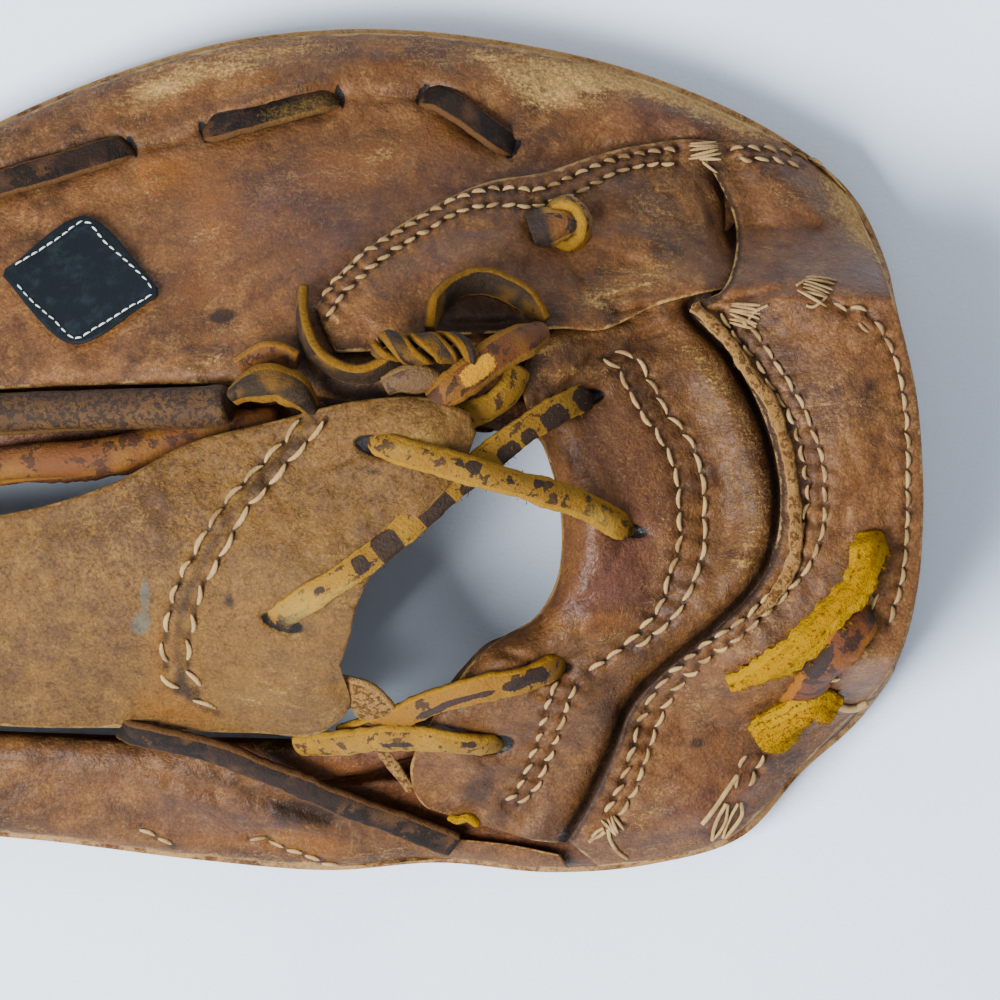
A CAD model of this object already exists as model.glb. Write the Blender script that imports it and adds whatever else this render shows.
"""A worn first baseman's mitt lying palm down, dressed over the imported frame.
Lengths are in millimetres until a piece is finished. The tables give places in thousandths of the mitt's own
length and width: along runs from the heel to the web's tip, and across from the middle to the finger side."""
import math
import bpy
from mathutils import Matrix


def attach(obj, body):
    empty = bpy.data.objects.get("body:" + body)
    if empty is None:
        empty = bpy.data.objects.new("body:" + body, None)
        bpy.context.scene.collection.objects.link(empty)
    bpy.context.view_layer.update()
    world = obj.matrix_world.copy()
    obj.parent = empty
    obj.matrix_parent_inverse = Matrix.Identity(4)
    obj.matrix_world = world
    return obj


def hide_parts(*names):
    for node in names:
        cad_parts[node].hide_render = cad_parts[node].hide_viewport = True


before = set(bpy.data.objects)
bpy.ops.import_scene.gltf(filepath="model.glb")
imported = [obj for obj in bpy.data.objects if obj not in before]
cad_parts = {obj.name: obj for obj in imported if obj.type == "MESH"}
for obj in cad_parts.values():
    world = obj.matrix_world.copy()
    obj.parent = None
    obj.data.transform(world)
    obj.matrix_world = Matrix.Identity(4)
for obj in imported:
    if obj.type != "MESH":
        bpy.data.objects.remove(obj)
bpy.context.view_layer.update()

from types import SimpleNamespace

import bmesh
import bpy
import numpy as np
from mathutils import Matrix, Vector
from mathutils.bvhtree import BVHTree

MM = 0.001

# Driving sizes, as in the part's source
MITT_LENGTH = 295.0
MITT_WIDTH = 187.0
CROWN_HEIGHT = 76.0
RIM_THICKNESS = 22.0
RIM_EDGE = 8.0
BAY_ROUND = 9.0
LEATHER = 2.4
PALM_PADDING = 9.0
HEEL_LIFT = 2.0
WEB_THICKNESS = 5.0
WEB_LIFT = 1.5
WEB_LAP = 6.0
LACE_WIDTH = 6.4
LACE_THICKNESS = 2.2
HEEL_LACE_WIDTH = 8.2
HEEL_LACE_THICKNESS = 3.4
EDGE_ROLL_DIAMETER = 9.4
SIDE_STRAND_DIAMETER = 8.4
PATCH_THICKNESS = 1.6
LAYER_GAP = 0.8
PADDING_GAP = 1.1
PAD_PUFF = 3.0
FLAT_DEPTH = 0.8
RIM_PADDING_REACH = 15.0
BAY_PADDING_REACH = 7.0
DOME_CENTRE = (469, -52)
DOME_SHARE = 0.8
POCKET_START = 0.1
POCKET_SHARE = 0.75
MOUTH = SimpleNamespace(low=-0.33, high=0.27, soft=0.1, reach=0.3)

# Shares of the length, of the crown's height for the back and of it for the pocket
PROFILE = np.array([
    (0.0, 0.68, 0.0), (0.1, 0.84, 0.1), (0.2, 0.95, 0.32), (0.28, 1.0, 0.5), (0.42, 0.99, 0.55),
    (0.6, 0.88, 0.46), (0.8, 0.68, 0.28), (1.0, 0.46, 0.1),
])

# Outlines of the leather pieces: near along, near across, far along, far across at each section
BODY = [
    (987, -23, 947, -29), (955, 102, 906, 6), (876, 217, 838, 25), (785, 314, 763, 43), (695, 390, 680, 53),
    (602, 450, 597, 58), (514, 487, 514, 58), (409, 499, 431, 51), (303, 481, 364, 31), (206, 443, 319, 23),
    (108, 372, 291, 15), (49, 292, 281, -13), (17, 144, 275, -46), (1, -46, 272, -94), (14, -224, 273, -135),
    (47, -314, 279, -167), (93, -381, 292, -198), (138, -457, 309, -215), (206, -489, 329, -229),
    (281, -498, 347, -258), (364, -486, 371, -300), (447, -495, 431, -337), (544, -483, 537, -341),
    (650, -462, 642, -337), (763, -441, 748, -329), (853, -395, 831, -308), (928, -322, 898, -281),
    (977, -224, 944, -242),
]
FINGER_BACK = [
    (986, -20, 950, -18), (955, 102, 904, 23), (876, 217, 837, 44), (785, 314, 763, 63), (695, 390, 680, 74),
    (602, 450, 597, 78), (514, 487, 514, 76), (409, 499, 431, 58), (326, 486, 364, 34), (258, 464, 322, 24),
    (198, 437, 314, 78), (149, 404, 297, 153), (115, 378, 236, 197), (93, 360, 169, 220),
]
INDEX_PANEL = [
    (457, 166, 441, 115), (439, 208, 410, 118), (404, 255, 376, 134), (366, 292, 340, 137),
    (328, 319, 302, 140), (285, 331, 272, 144), (244, 353, 241, 143), (206, 366, 202, 171),
    (167, 371, 159, 189), (130, 353, 129, 197),
]
CROTCH_PAD = [
    (294, 122, 272, 153), (302, 89, 213, 179), (298, 46, 159, 191), (285, 1, 132, 126), (276, -46, 105, 31),
    (272, -100, 95, -64), (276, -153, 105, -153), (292, -197, 136, -217), (316, -220, 180, -277),
    (337, -246, 206, -317), (356, -286, 220, -371), (376, -337, 234, -424), (386, -381, 255, -462),
    (376, -422, 292, -464), (344, -436, 319, -449),
]
WRIST_BAND = [
    (174, 365, 119, 371), (154, 322, 69, 334), (140, 260, 40, 260), (151, 191, 22, 173), (175, 170, 14, 126),
    (147, 118, 6, 67), (117, 23, 2, 1), (108, -64, 1, -82), (118, -141, 7, -177), (149, -201, 29, -272),
    (195, -261, 78, -357), (219, -303, 111, -414), (234, -363, 145, -462), (251, -420, 191, -486),
    (267, -464, 243, -496),
]
THUMB_BACK = [
    (977, -224, 944, -242), (928, -322, 898, -281), (853, -395, 831, -308), (763, -441, 748, -329),
    (650, -462, 642, -341), (544, -483, 556, -355), (447, -495, 480, -393), (394, -492, 420, -432),
    (352, -487, 371, -457), (303, -496, 311, -469), (266, -498, 273, -481),
]
WEB = [
    (341, 44, 336, 20), (358, 56, 347, -23), (379, 63, 373, -72), (403, 62, 403, -120), (430, 57, 423, -175),
    (456, 48, 431, -222), (481, 37, 438, -262), (507, 27, 430, -300), (532, 18, 456, -336),
    (558, 4, 498, -335), (582, -17, 547, -333), (606, -37, 597, -329), (657, -64, 657, -329),
    (725, -82, 725, -324), (808, -82, 808, -310), (891, -64, 891, -289), (951, -51, 955, -258),
    (998, -56, 999, -215),
]
PATCH = [
    (575, 192, 575, 183), (586, 213, 588, 169), (631, 279, 639, 126), (684, 224, 689, 201),
    (691, 217, 693, 208),
]

# Routes of the laces: along, across, height over the dome, roll in degrees
ROUTES = {
    "web_lace_upper": [
        (416, 17, 1, 0), (407, 8, 6.5, 0), (392, -1, 9.3, 5), (364, -13, 9.6, 10), (334, -27, 9.2, 5),
        (288, -48, 8.4, 0), (252, -67, 6.5, 0), (231, -87, 3.5, 0), (222, -96, -3, 0),
    ],
    "web_lace_lower": [
        (493, -205, -6, 0), (483, -197, 1, 0), (468, -181, 6.6, 0), (439, -153, 8, 0), (404, -113, 7, 0),
        (364, -58, 5, 0), (319, 1, 5, 0), (281, 43, 5, 0), (262, 58, 2.5, 0), (251, 68, -5, 0),
    ],
    "thumb_side_lace_upper": [
        (272, -254, -5, 0), (284, -260, 1.5, 0), (303, -272, 4, 10), (334, -281, 4.4, 20), (371, -298, 3, 20),
        (405, -322, 0, 10), (435, -337, -5, 0),
    ],
    "thumb_side_lace_lower": [
        (319, -349, -5, 0), (331, -348, 1.5, 0), (349, -346, 4.4, 0), (379, -341, 5, 20), (409, -341, 4, 20),
        (439, -346, 1, 20), (469, -350, -5, 0),
    ],
    "thumb_lace": [
        (605, -324, -5, 0), (596, -333, 2, 0), (582, -338, 4.6, 0), (537, -355, 4.6, 0), (484, -387, 4, 0),
        (431, -422, 3, 0), (386, -449, 2.4, 0), (353, -469, 2.2, 0),
    ],
    "corner_lace": [
        (466, 189, 4.2, 74), (465, 150, 4.4, 75), (456, 115, 4.6, 76), (439, 95, 5, 78), (419, 90, 5.6, 78),
        (400, 103, 6.4, 74), (391, 118, 6.4, 70),
    ],
    "braid_lace": [
        (410, 125, 9.6, 0), (397, 122, 11, 60), (382, 118, 11.4, 120), (367, 120, 11.4, 180),
        (352, 120, 11.2, 240), (338, 113, 10, 300),
    ],
    "cross_lace": [
        (367, 56, 4.6, 0), (355, 72, 7.6, 10), (337, 94, 8.6, 20), (319, 115, 9.6, 20), (302, 129, 9.6, 10),
        (288, 139, 6.8, 0),
    ],
    "under_lace": [
        (355, 32, -2, 0), (341, 42, 0.8, 10), (325, 53, 1.6, 20), (311, 72, 1.6, 20), (305, 96, 1.4, 10),
    ],
    "loop_lace": [
        (371, 141, 7.6, 75), (365, 172, 7.8, 72), (350, 194, 7.8, 68), (331, 200, 7.8, 66),
        (311, 190, 7.8, 68), (294, 172, 7.8, 72), (284, 153, 7.6, 75),
    ],
    "fold_lace": [
        (403, 75, 3.4, 20), (391, 83, 5, 30), (374, 84, 5.2, 30), (359, 75, 3.6, 20),
    ],
    "knot_lace": [
        (517, 63, 6.4, 0), (504, 75, 7.8, 10), (486, 80, 8.4, 10), (469, 68, 7, 0), (459, 51, 3, 0),
    ],
    "knot_lace_end": [
        (514, 99, 3.6, 60), (501, 110, 3.8, 60), (484, 115, 3.8, 60), (469, 106, 3.6, 60),
    ],
    "heel_lace_long": [
        (37, -103, 0, 0), (43, -120, 7.4, 10), (53, -160, 8.8, 20), (75, -203, 8.8, 20), (99, -239, 8, 20),
        (124, -262, 7.4, 10), (144, -273, 6.8, 0),
    ],
    "heel_lace_short": [
        (44, -186, -1, 0), (53, -208, 7, 0), (67, -239, 8, 0), (82, -270, 8.6, 10), (96, -300, 9, 10),
        (111, -331, 9, 0),
    ],
}
EDGE_ROLL = [
    (892, 13, -3, 0), (816, 27, -3, 0), (740, 39, -2.6, 0), (665, 45, -2.2, 0), (602, 48, -1.6, 0),
    (552, 49, -1, 0), (520, 53, 0, 0),
]
SIDE_STRAND = [
    (913, -27, -5, 0), (838, -30, -5, 0), (755, -30, -4.8, 0), (680, -15, -5, 0), (612, -7, -5.8, 0),
    (567, 11, -8.6, 0), (520, 25, -10, 0), (484, 30, -10.4, 0),
]
RIM_HOLES = [
    (710, 312), (597, 362), (541, 381), (441, 420), (375, 424), (309, 361),
]
TIP_TIES = [
    (921, 51, 925, -91), (913, -236, 906, -310),
]

# Stitch rows: along and across of points on the thread's line
SEAMS = {
    "finger_upper": [
        (450, 178), (443, 196), (433, 210), (423, 227), (412, 240), (401, 252), (389, 262), (378, 274),
        (367, 284), (354, 296), (342, 302), (328, 309), (309, 310), (289, 309), (261, 327), (237, 343),
        (212, 353), (199, 356), (181, 359),
    ],
    "finger_lower": [
        (448, 156), (441, 173), (434, 188), (425, 200), (415, 216), (405, 228), (394, 241), (381, 253),
        (370, 264), (360, 274), (347, 284), (333, 290), (314, 291), (295, 290), (268, 302), (255, 310),
        (232, 330), (207, 341), (184, 342),
    ],
    "top_upper": [
        (145, 359), (130, 360), (114, 359), (103, 356), (92, 352), (78, 344), (66, 334),
    ],
    "top_lower": [
        (139, 347), (113, 347), (99, 343), (87, 338),
    ],
    "pad_inner": [
        (242, 110), (231, 99), (224, 81), (218, 62), (211, 43), (200, 21), (191, -6), (185, -37), (183, -72),
        (184, -118), (191, -148), (197, -182), (209, -205), (221, -226), (233, -242), (251, -260),
    ],
    "pad_outer": [
        (234, 115), (224, 112), (215, 103), (208, 86), (203, 69), (197, 52), (190, 37), (180, 18), (172, -10),
        (167, -43), (166, -78), (167, -118), (174, -152), (183, -185), (195, -205), (209, -222), (221, -236),
    ],
    "leg_inner": [
        (274, -272), (280, -292), (285, -318), (288, -340), (294, -363), (299, -385), (306, -406),
        (319, -424),
    ],
    "leg_outer": [
        (261, -276), (267, -293), (272, -318), (277, -342), (282, -363), (287, -381), (292, -400),
        (307, -422),
    ],
    "band_inner": [
        (153, 164), (142, 137), (127, 109), (113, 72), (101, 43), (94, 15), (90, -15), (87, -51), (90, -84),
        (96, -125), (107, -154), (123, -181), (139, -203), (159, -224), (175, -243), (192, -267), (203, -289),
        (209, -308), (214, -328), (218, -354), (222, -373), (226, -394), (232, -412), (237, -429),
    ],
    "band_outer": [
        (142, 160), (127, 137), (113, 105), (104, 84), (88, 39), (82, 12), (77, -20), (76, -59), (78, -94),
        (85, -127), (99, -159), (111, -179), (125, -200), (139, -219), (152, -232), (163, -243), (173, -259),
        (183, -274), (191, -292), (197, -312), (202, -330), (207, -354), (212, -375), (215, -394),
        (221, -413), (233, -442),
    ],
    "heel_top": [
        (69, 176), (59, 166), (47, 166), (38, 154),
    ],
    "heel_top_lower": [
        (51, 154), (40, 139),
    ],
    "heel_edge": [
        (38, 154), (23, 108), (15, 37), (14, -58), (17, -141), (29, -213),
    ],
    "heel_low": [
        (57, -242), (62, -260), (75, -276),
    ],
    "heel_foot": [
        (120, -359), (124, -375), (130, -394),
    ],
    "heel_foot_inner": [
        (132, -359), (136, -375), (139, -394),
    ],
    "web_left": [
        (466, 36), (479, 10), (493, -13), (508, -39), (522, -62), (534, -90), (547, -125), (559, -162),
        (566, -201), (569, -239), (566, -271), (556, -291),
    ],
    "web_right": [
        (448, 36), (465, 7), (477, -13), (492, -42), (505, -62), (517, -93), (530, -131), (542, -164),
        (549, -204), (553, -240), (548, -271), (542, -297), (522, -319),
    ],
    "thumb_left": [
        (591, -448), (584, -456), (573, -464), (564, -473),
    ],
    "thumb_right": [
        (508, -462), (493, -463), (483, -473), (468, -480), (457, -487), (444, -494),
    ],
    "patch_near": [
        (579, 191), (584, 202), (591, 213), (602, 229), (615, 247), (631, 272), (650, 253), (669, 234),
        (683, 221),
    ],
    "patch_far": [
        (579, 185), (585, 178), (593, 172), (606, 159), (621, 145), (637, 133), (654, 156), (671, 179),
        (684, 202),
    ],
}


# Plain maths

def mix(a, b, share):
    return a + (b - a) * share


def ease(share):
    t = np.clip(share, 0.0, 1.0)
    return t * t * (3 - 2 * t)


def quarter_round(share):
    t = np.clip(share, 0.0, 1.0)
    return np.sqrt(t * (2 - t))


def bell(distance, reach):
    return np.exp(-((distance / reach) ** 2))


def unit(vectors):
    return vectors / np.maximum(np.linalg.norm(vectors, axis=1), 1e-9)[:, None]


def plan(along, across):
    """Places on the plan, in millimetres."""
    x = (0.5 - np.asarray(along) / 1000) * MITT_LENGTH
    return np.stack([x, np.asarray(across) / 1000 * MITT_WIDTH], axis=-1)


def places(rows, first=0):
    """Places on the plan from two columns of a table."""
    table = np.array(rows, float)
    return plan(table[:, first], table[:, first + 1])


def spline(points, t):
    """A centripetal Catmull-Rom curve through points, at shares t of its rows."""
    points = np.asarray(points, float)
    t = np.atleast_1d(np.asarray(t, float))
    first = 2 * points[0] - points[1]
    last = 2 * points[-1] - points[-2]
    padded = np.vstack([first, points, last])
    place = np.clip(t, 0, 1) * (len(points) - 1)
    i = np.minimum(place.astype(int), len(points) - 2)
    w = (place - i)[:, None]
    p0, p1, p2, p3 = (padded[i + k] for k in range(4))
    d0, d1, d2 = (
        np.maximum(((b - a) ** 2).sum(axis=1), 1e-8)[:, None] ** 0.25 for a, b in ((p0, p1), (p1, p2), (p2, p3))
    )
    t1 = ((p1 - p0) / d0 - (p2 - p0) / (d0 + d1) + (p2 - p1) / d1) * d1
    t2 = ((p2 - p1) / d1 - (p3 - p1) / (d1 + d2) + (p3 - p2) / d2) * d1
    return p1 + w * (t1 + w * (3 * (p2 - p1) - 2 * t1 - t2 + w * (2 * (p1 - p2) + t1 + t2)))


def arc_along(line):
    """How far along a broken line each of its places lies."""
    return np.concatenate([[0], np.cumsum(np.linalg.norm(np.diff(line, axis=0), axis=1))])


def measured(points, count):
    """Shares of a curve, its places there, and how far along it they lie."""
    shares = np.linspace(0, 1, count)
    line = spline(points, shares)
    return shares, line, arc_along(line)


def follow(table, column, at):
    """A column of a table at any place along it, on a smooth curve through its rows."""
    x, y = table[:, 0], table[:, column]
    at = np.asarray(at, float)
    i = np.clip(np.searchsorted(x, at, side="left") - 1, 0, len(x) - 2)
    t = np.clip((at - x[i]) / (x[i + 1] - x[i]), 0, 1)
    a, b, c, d = (y[np.clip(i + k, 0, len(x) - 1)] for k in (-1, 0, 1, 2))
    return b + 0.5 * t * (c - a + t * (2 * a - 5 * b + 4 * c - d + t * (3 * (b - c) + d - a)))


LINE_SHARES = np.linspace(0, 1, 161)
RIM_LINE = spline(places(BODY), LINE_SHARES)
BAY_EDGE = spline(places(BODY, 2), LINE_SHARES)
BAY_LINE = np.vstack([RIM_LINE[:1], BAY_EDGE, RIM_LINE[-1:]])
DOME_POINT = plan(*DOME_CENTRE)


def gap_to(line, x, y):
    """Distance from places to a broken line."""
    best = np.full(np.shape(x), 1e9)
    for a, b in zip(line[:-1], line[1:]):
        run = b - a
        size = max(float(run @ run), 1e-9)
        t = np.clip(((x - a[0]) * run[0] + (y - a[1]) * run[1]) / size, 0, 1)
        best = np.minimum(best, np.hypot(x - a[0] - t * run[0], y - a[1] - t * run[1]))
    return best


def rim_reach():
    """Distance from the dome's centre to the rim, all the way round."""
    loop = np.vstack([RIM_LINE, RIM_LINE[:1]]) - DOME_POINT
    angles = np.linspace(-math.pi, math.pi, 721)
    reach = np.zeros(len(angles))
    ray_x, ray_y = np.cos(angles), np.sin(angles)
    for a, b in zip(loop[:-1], loop[1:]):
        turn = ray_x * (b[1] - a[1]) - ray_y * (b[0] - a[0])
        turn = np.where(np.abs(turn) < 1e-9, 1e-9, turn)
        far = (a[0] * b[1] - a[1] * b[0]) / turn
        place = (a[0] * ray_y - a[1] * ray_x) / turn
        hit = (far > 0) & (place >= -1e-6) & (place <= 1 + 1e-6)
        reach = np.where(hit, np.maximum(reach, far), reach)
    return angles, reach


RIM_ANGLES, RIM_REACH = rim_reach()


def inset_share(x, y):
    """Share of the way in from the rim to the dome's centre."""
    px, py = x - DOME_POINT[0], y - DOME_POINT[1]
    return 1 - np.hypot(px, py) / np.interp(np.arctan2(py, px), RIM_ANGLES, RIM_REACH)


def envelope(x, y):
    """Back and palm surfaces of the whole mitt over places of the plan."""
    along = 0.5 - x / MITT_LENGTH
    across = y / MITT_WIDTH
    inset = inset_share(x, y)
    rim_gap = gap_to(RIM_LINE, x, y)
    bay_gap = gap_to(BAY_LINE, x, y)
    opened = (
        ease((across - MOUTH.low) / MOUTH.soft)
        * ease((MOUTH.high - across) / MOUTH.soft)
        * (1 - ease(along / MOUTH.reach))
    )
    half = RIM_THICKNESS / 2
    roll = RIM_EDGE / 2 + (half - RIM_EDGE / 2) * quarter_round(rim_gap / half)
    crown = follow(PROFILE, 1, along) * CROWN_HEIGHT
    pocket = follow(PROFILE, 2, along) * CROWN_HEIGHT
    dome = half + mix(roll, half, opened) + (crown - RIM_THICKNESS) * mix(ease(inset / DOME_SHARE), 1, opened)
    under = half - mix(roll, half - HEEL_LIFT, opened) + pocket * ease((inset - POCKET_START) / POCKET_SHARE)
    drop = ((dome - under) / 2 - RIM_EDGE / 2) * (1 - quarter_round(bay_gap / BAY_ROUND))
    bottom = np.maximum(0, under + drop - FLAT_DEPTH)
    return SimpleNamespace(
        dome=dome, opened=opened, rim_gap=rim_gap, bay_gap=bay_gap, top=dome - drop, bottom=bottom, along=along
    )


STEEPEST = 1.55  # how many times its thickness a sloping wall measures upright at most


def wall_at(x, y):
    """Upright thickness of a leather wall whose surface slopes."""
    step = 0.5
    here = envelope(x, y).dome
    slope = np.hypot(envelope(x + step, y).dome - here, envelope(x, y + step).dome - here) / step
    return LEATHER * np.minimum(STEEPEST, np.hypot(1, slope))


def hash_noise(x, y, seed):
    """Smooth noise between -1 and 1 on a grid of unit cells."""
    ix, iy = np.floor(x).astype(int), np.floor(y).astype(int)
    fx, fy = ease(x - ix), ease(y - iy)

    def corner(dx, dy):
        n = np.sin((ix + dx) * 127.1 + (iy + dy) * 311.7 + seed * 74.7) * 43758.5453
        return 2 * (n - np.floor(n)) - 1

    return mix(mix(corner(0, 0), corner(1, 0), fx), mix(corner(0, 1), corner(1, 1), fx), fy)


def noise(x, y, size, seed, layers=3):
    """Layers of noise, each half as large and half as strong as the one before."""
    total = 0
    for layer in range(layers):
        total = total + hash_noise(x / size * 2**layer, y / size * 2**layer, seed + layer) / 2**layer
    return total / 1.6


# Meshes

def cut_along(bm, axis, cuts):
    """Cuts the edges of a unit shape that run along an axis."""
    edges = [edge for edge in bm.edges if abs(edge.verts[0].co[axis] - edge.verts[1].co[axis]) > 0.5]
    bmesh.ops.subdivide_edges(bm, edges=edges, cuts=cuts, use_grid_fill=True)


def shape(bm, move):
    """Moves every vertex by a function of the array of places."""
    bm.verts.ensure_lookup_table()
    moved = move(np.array([v.co for v in bm.verts]))
    for vertex, place in zip(bm.verts, moved):
        vertex.co = place


ONE_PART = bpy.data.meshes.new("one_part")


def gather(bm, part):
    """Adds a small mesh to a large one."""
    part.to_mesh(ONE_PART)
    part.free()
    bm.from_mesh(ONE_PART)


def finish_piece(name, bm, material, nodes=()):
    """Turns a bmesh in millimetres into a finished object that rides with the mitt."""
    bmesh.ops.scale(bm, vec=(MM, MM, MM), verts=bm.verts)
    bmesh.ops.recalc_face_normals(bm, faces=bm.faces)
    for face in bm.faces:
        face.smooth = True
    mesh = bpy.data.meshes.new(name)
    bm.to_mesh(mesh)
    bm.free()
    piece = bpy.data.objects.new(name, mesh)
    bpy.context.scene.collection.objects.link(piece)
    mesh.materials.append(material)
    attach(piece, "root")
    if nodes:
        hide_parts(*nodes)
    return piece


def paint(piece, **layers):
    """Writes arrays of one number per vertex as attributes that the material reads."""
    for name, values in layers.items():
        attribute = piece.data.attributes.new(name, "FLOAT", "POINT")
        attribute.data.foreach_set("value", np.asarray(values, np.float32))


def plan_slab(near, far, cell, side_cuts):
    """A closed slab of unit height over a grid, in cells of a given size."""
    lines = [spline(edge, np.linspace(0, 1, 200)) for edge in (near, far)]
    length = max(arc_along(line)[-1] for line in lines)
    width = np.linalg.norm(lines[0] - lines[1], axis=1).max()
    bm = bmesh.new()
    bmesh.ops.create_grid(bm, x_segments=round(length / cell), y_segments=max(3, round(width / cell)), size=0.5)
    made = bmesh.ops.extrude_face_region(bm, geom=bm.faces[:], use_keep_orig=True)
    raised = [part for part in made["geom"] if isinstance(part, bmesh.types.BMVert)]
    bmesh.ops.translate(bm, vec=(0, 0, 1), verts=raised)
    if side_cuts:
        cut_along(bm, 2, side_cuts)
    return bm


def leather_piece(
    name, rows, surfaces, cell, material, slot, cut_reach=0.9, side_cuts=0, bulge=0.0, soft=1.1
):
    """One leather piece over its outline. surfaces gives its bottom and top over places of the plan,
    cut_reach how far in its cut edge shows, soft how far in it rounds over, and bulge how far its near side
    swells out."""
    near, far = places(rows), places(rows, 2)
    bm = plan_slab(near, far, cell, side_cuts)
    run = arc_along(spline(near, LINE_SHARES))[-1]
    kept = SimpleNamespace()

    def move(grid):
        station, cross, high = grid[:, 0] + 0.5, grid[:, 1] + 0.5, grid[:, 2]
        spread = cross - np.sin(2 * math.pi * cross) / (4 * math.pi)
        a, b = spline(near, station), spline(far, station)
        place = a + (b - a) * spread[:, None]
        reach = np.linalg.norm(b - a, axis=1)
        edge = np.minimum(np.minimum(spread, 1 - spread) * reach, np.minimum(station, 1 - station) * run)
        x, y = place[:, 0], place[:, 1]
        bottom, top = surfaces(x, y, station, spread)
        worn = (1 - quarter_round(edge / soft)) * np.minimum(soft, (top - bottom) * 0.45)
        top, bottom = top - worn * 0.8, bottom + worn * 0.35
        if bulge:
            swell = bulge * np.sin(math.pi * high) * (grid[:, 1] < -0.4999)
            place = place + (a - b) / np.maximum(reach, 1e-6)[:, None] * swell[:, None]
        kept.x, kept.y, kept.edge = x, y, edge
        return np.column_stack([place, bottom + (top - bottom) * high])

    shape(bm, move)
    piece = finish_piece(name, bm, material, [name])
    paint(piece, **leather_layers(name, kept, cut_reach))
    return piece


def route_frames(points, t):
    """Centre, level and normal of a route at shares t, with its width level where roll is 0."""
    look = 0.5 / (len(points) - 1)
    centre = spline(points, t)
    ahead = spline(points, np.minimum(1, t + look)) - spline(points, np.maximum(0, t - look))
    step = 1e-3
    tangent = unit(spline(points, np.minimum(1, t + step)) - spline(points, np.maximum(0, t - step)))
    side = unit(np.column_stack([-ahead[:, 1], ahead[:, 0], np.zeros(len(t))]))
    normal = unit(np.cross(tangent, side))
    return centre, np.cross(normal, tangent), normal


def lean_at(points):
    """How far the back leans across a route at each of its points, in degrees."""
    ahead = np.vstack([points[1] - points[0], points[2:] - points[:-2], points[-1] - points[-2]])
    side = unit(np.column_stack([-ahead[:, 1], ahead[:, 0]]))
    x, y = points[:, 0], points[:, 1]
    rise = envelope(x + side[:, 0], y + side[:, 1]).dome - envelope(x - side[:, 0], y - side[:, 1]).dome
    return np.degrees(np.arctan(rise / 2))


def over_dome(rows):
    """Places of a table's rows, whose third column is their height over the dome."""
    feet = places(rows)
    return np.column_stack([feet, envelope(feet[:, 0], feet[:, 1]).dome + [row[2] for row in rows]])


LACE_CELL = 0.6
END_REACH = 8  # how far from its end a lace takes on its full width
COIL_PITCH = 15


def lace(
    name, points, rolls, material, slot, nodes, seed, width=LACE_WIDTH, thickness=LACE_THICKNESS,
    squareness=0.16, wobble=0.25, ends=(1, 1), cup=0.12, coil=0.0, phase=0.0, rough=0.14,
):
    """A lace bent along points. ends are its widths there as shares, cup hollows its underside, and coil winds
    it round."""
    shares, _, arc = measured(points, 400)
    bm = bmesh.new()
    bmesh.ops.create_cube(bm, size=1)
    for axis, cuts in enumerate((max(24, round(arc[-1] / LACE_CELL)), 6, 2)):
        cut_along(bm, axis, cuts)
    kept = SimpleNamespace()

    def move(bar):
        t, a, b = bar[:, 0] + 0.5, bar[:, 1] * 2, bar[:, 2] * 2
        rounded_a = a * np.sqrt(1 - squareness * b * b)
        rounded_b = b * np.sqrt(1 - squareness * a * a)
        centre, level, normal = route_frames(points, t)
        roll = np.radians(np.interp(t * (len(rolls) - 1), np.arange(len(rolls)), rolls))
        run = np.interp(t, shares, arc)
        swing = wobble * noise(run, seed * 3.1, 9, seed)
        wide = width / 2 * (1 + 0.1 * noise(run, 5.5, 7, seed + 4) + 0.05 * noise(run, 2.5, 2, seed))
        wide = wide * mix(ends[0], 1, ease(run / END_REACH))
        wide = wide * mix(ends[1], 1, ease((arc[-1] - run) / END_REACH))
        out = rounded_b * thickness / 2 + cup * thickness * (1 - a * a)
        out = out + rough * noise(run, a * 3, 2.2, seed + 9)
        side = rounded_a * (wide + rough * 1.5 * noise(run, 8.5, 1.7, seed + 2)) + swing
        if coil:
            roll = roll + 2 * math.pi * run / COIL_PITCH + phase
            out = out + coil
        cos, sin = np.cos(roll), np.sin(roll)
        kept.run, kept.a, kept.b = run, a, b
        kept.place = (
            centre + level * (side * cos - out * sin)[:, None] + normal * (side * sin + out * cos)[:, None]
        )
        return kept.place

    shape(bm, move)
    piece = finish_piece(name, bm, material, nodes)
    marks = marks_on(name, ("dark", "wear", "warm"), kept.place[:, 0], kept.place[:, 1], 4)
    paint(piece, run=kept.run, a=kept.a, b=kept.b, **marks)
    return piece


def unit_rod(segments, cuts, **caps):
    """A rod of unit height and radius along Z."""
    bm = bmesh.new()
    bmesh.ops.create_cone(bm, cap_ends=True, segments=segments, radius1=1, radius2=1, depth=1, **caps)
    cut_along(bm, 2, cuts)
    return bm


def strand(name, rows, diameter, material, seed):
    """A rolled strand of leather with a seam along it."""
    points = over_dome(rows)
    shares, _, arc = measured(points, 400)
    bm = unit_rod(36, round(arc[-1]), cap_tris=True)
    kept = SimpleNamespace()

    def move(rod):
        t = rod[:, 2] + 0.5
        centre, level, normal = route_frames(points, t)
        run = np.interp(t, shares, arc)
        angle = np.arctan2(rod[:, 1], rod[:, 0])
        radius = diameter / 2 * np.hypot(rod[:, 0], rod[:, 1])
        fold = 1 - 0.14 * bell(np.mod(angle - 1.9 - run * 0.012 + math.pi, 2 * math.pi) - math.pi, 0.25)
        radius = radius * fold * (1 + 0.07 * noise(run, angle * 2, 14, seed))
        radius = radius * (0.72 + 0.28 * quarter_round(np.minimum(run, arc[-1] - run) / 2.5))
        kept.run, kept.a, kept.b = run, angle / math.pi, fold
        return centre + level * (radius * np.cos(angle))[:, None] + normal * (radius * np.sin(angle))[:, None]

    shape(bm, move)
    paint(finish_piece(name, bm, material, [name]), run=kept.run, a=kept.a, b=kept.b)


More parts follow.
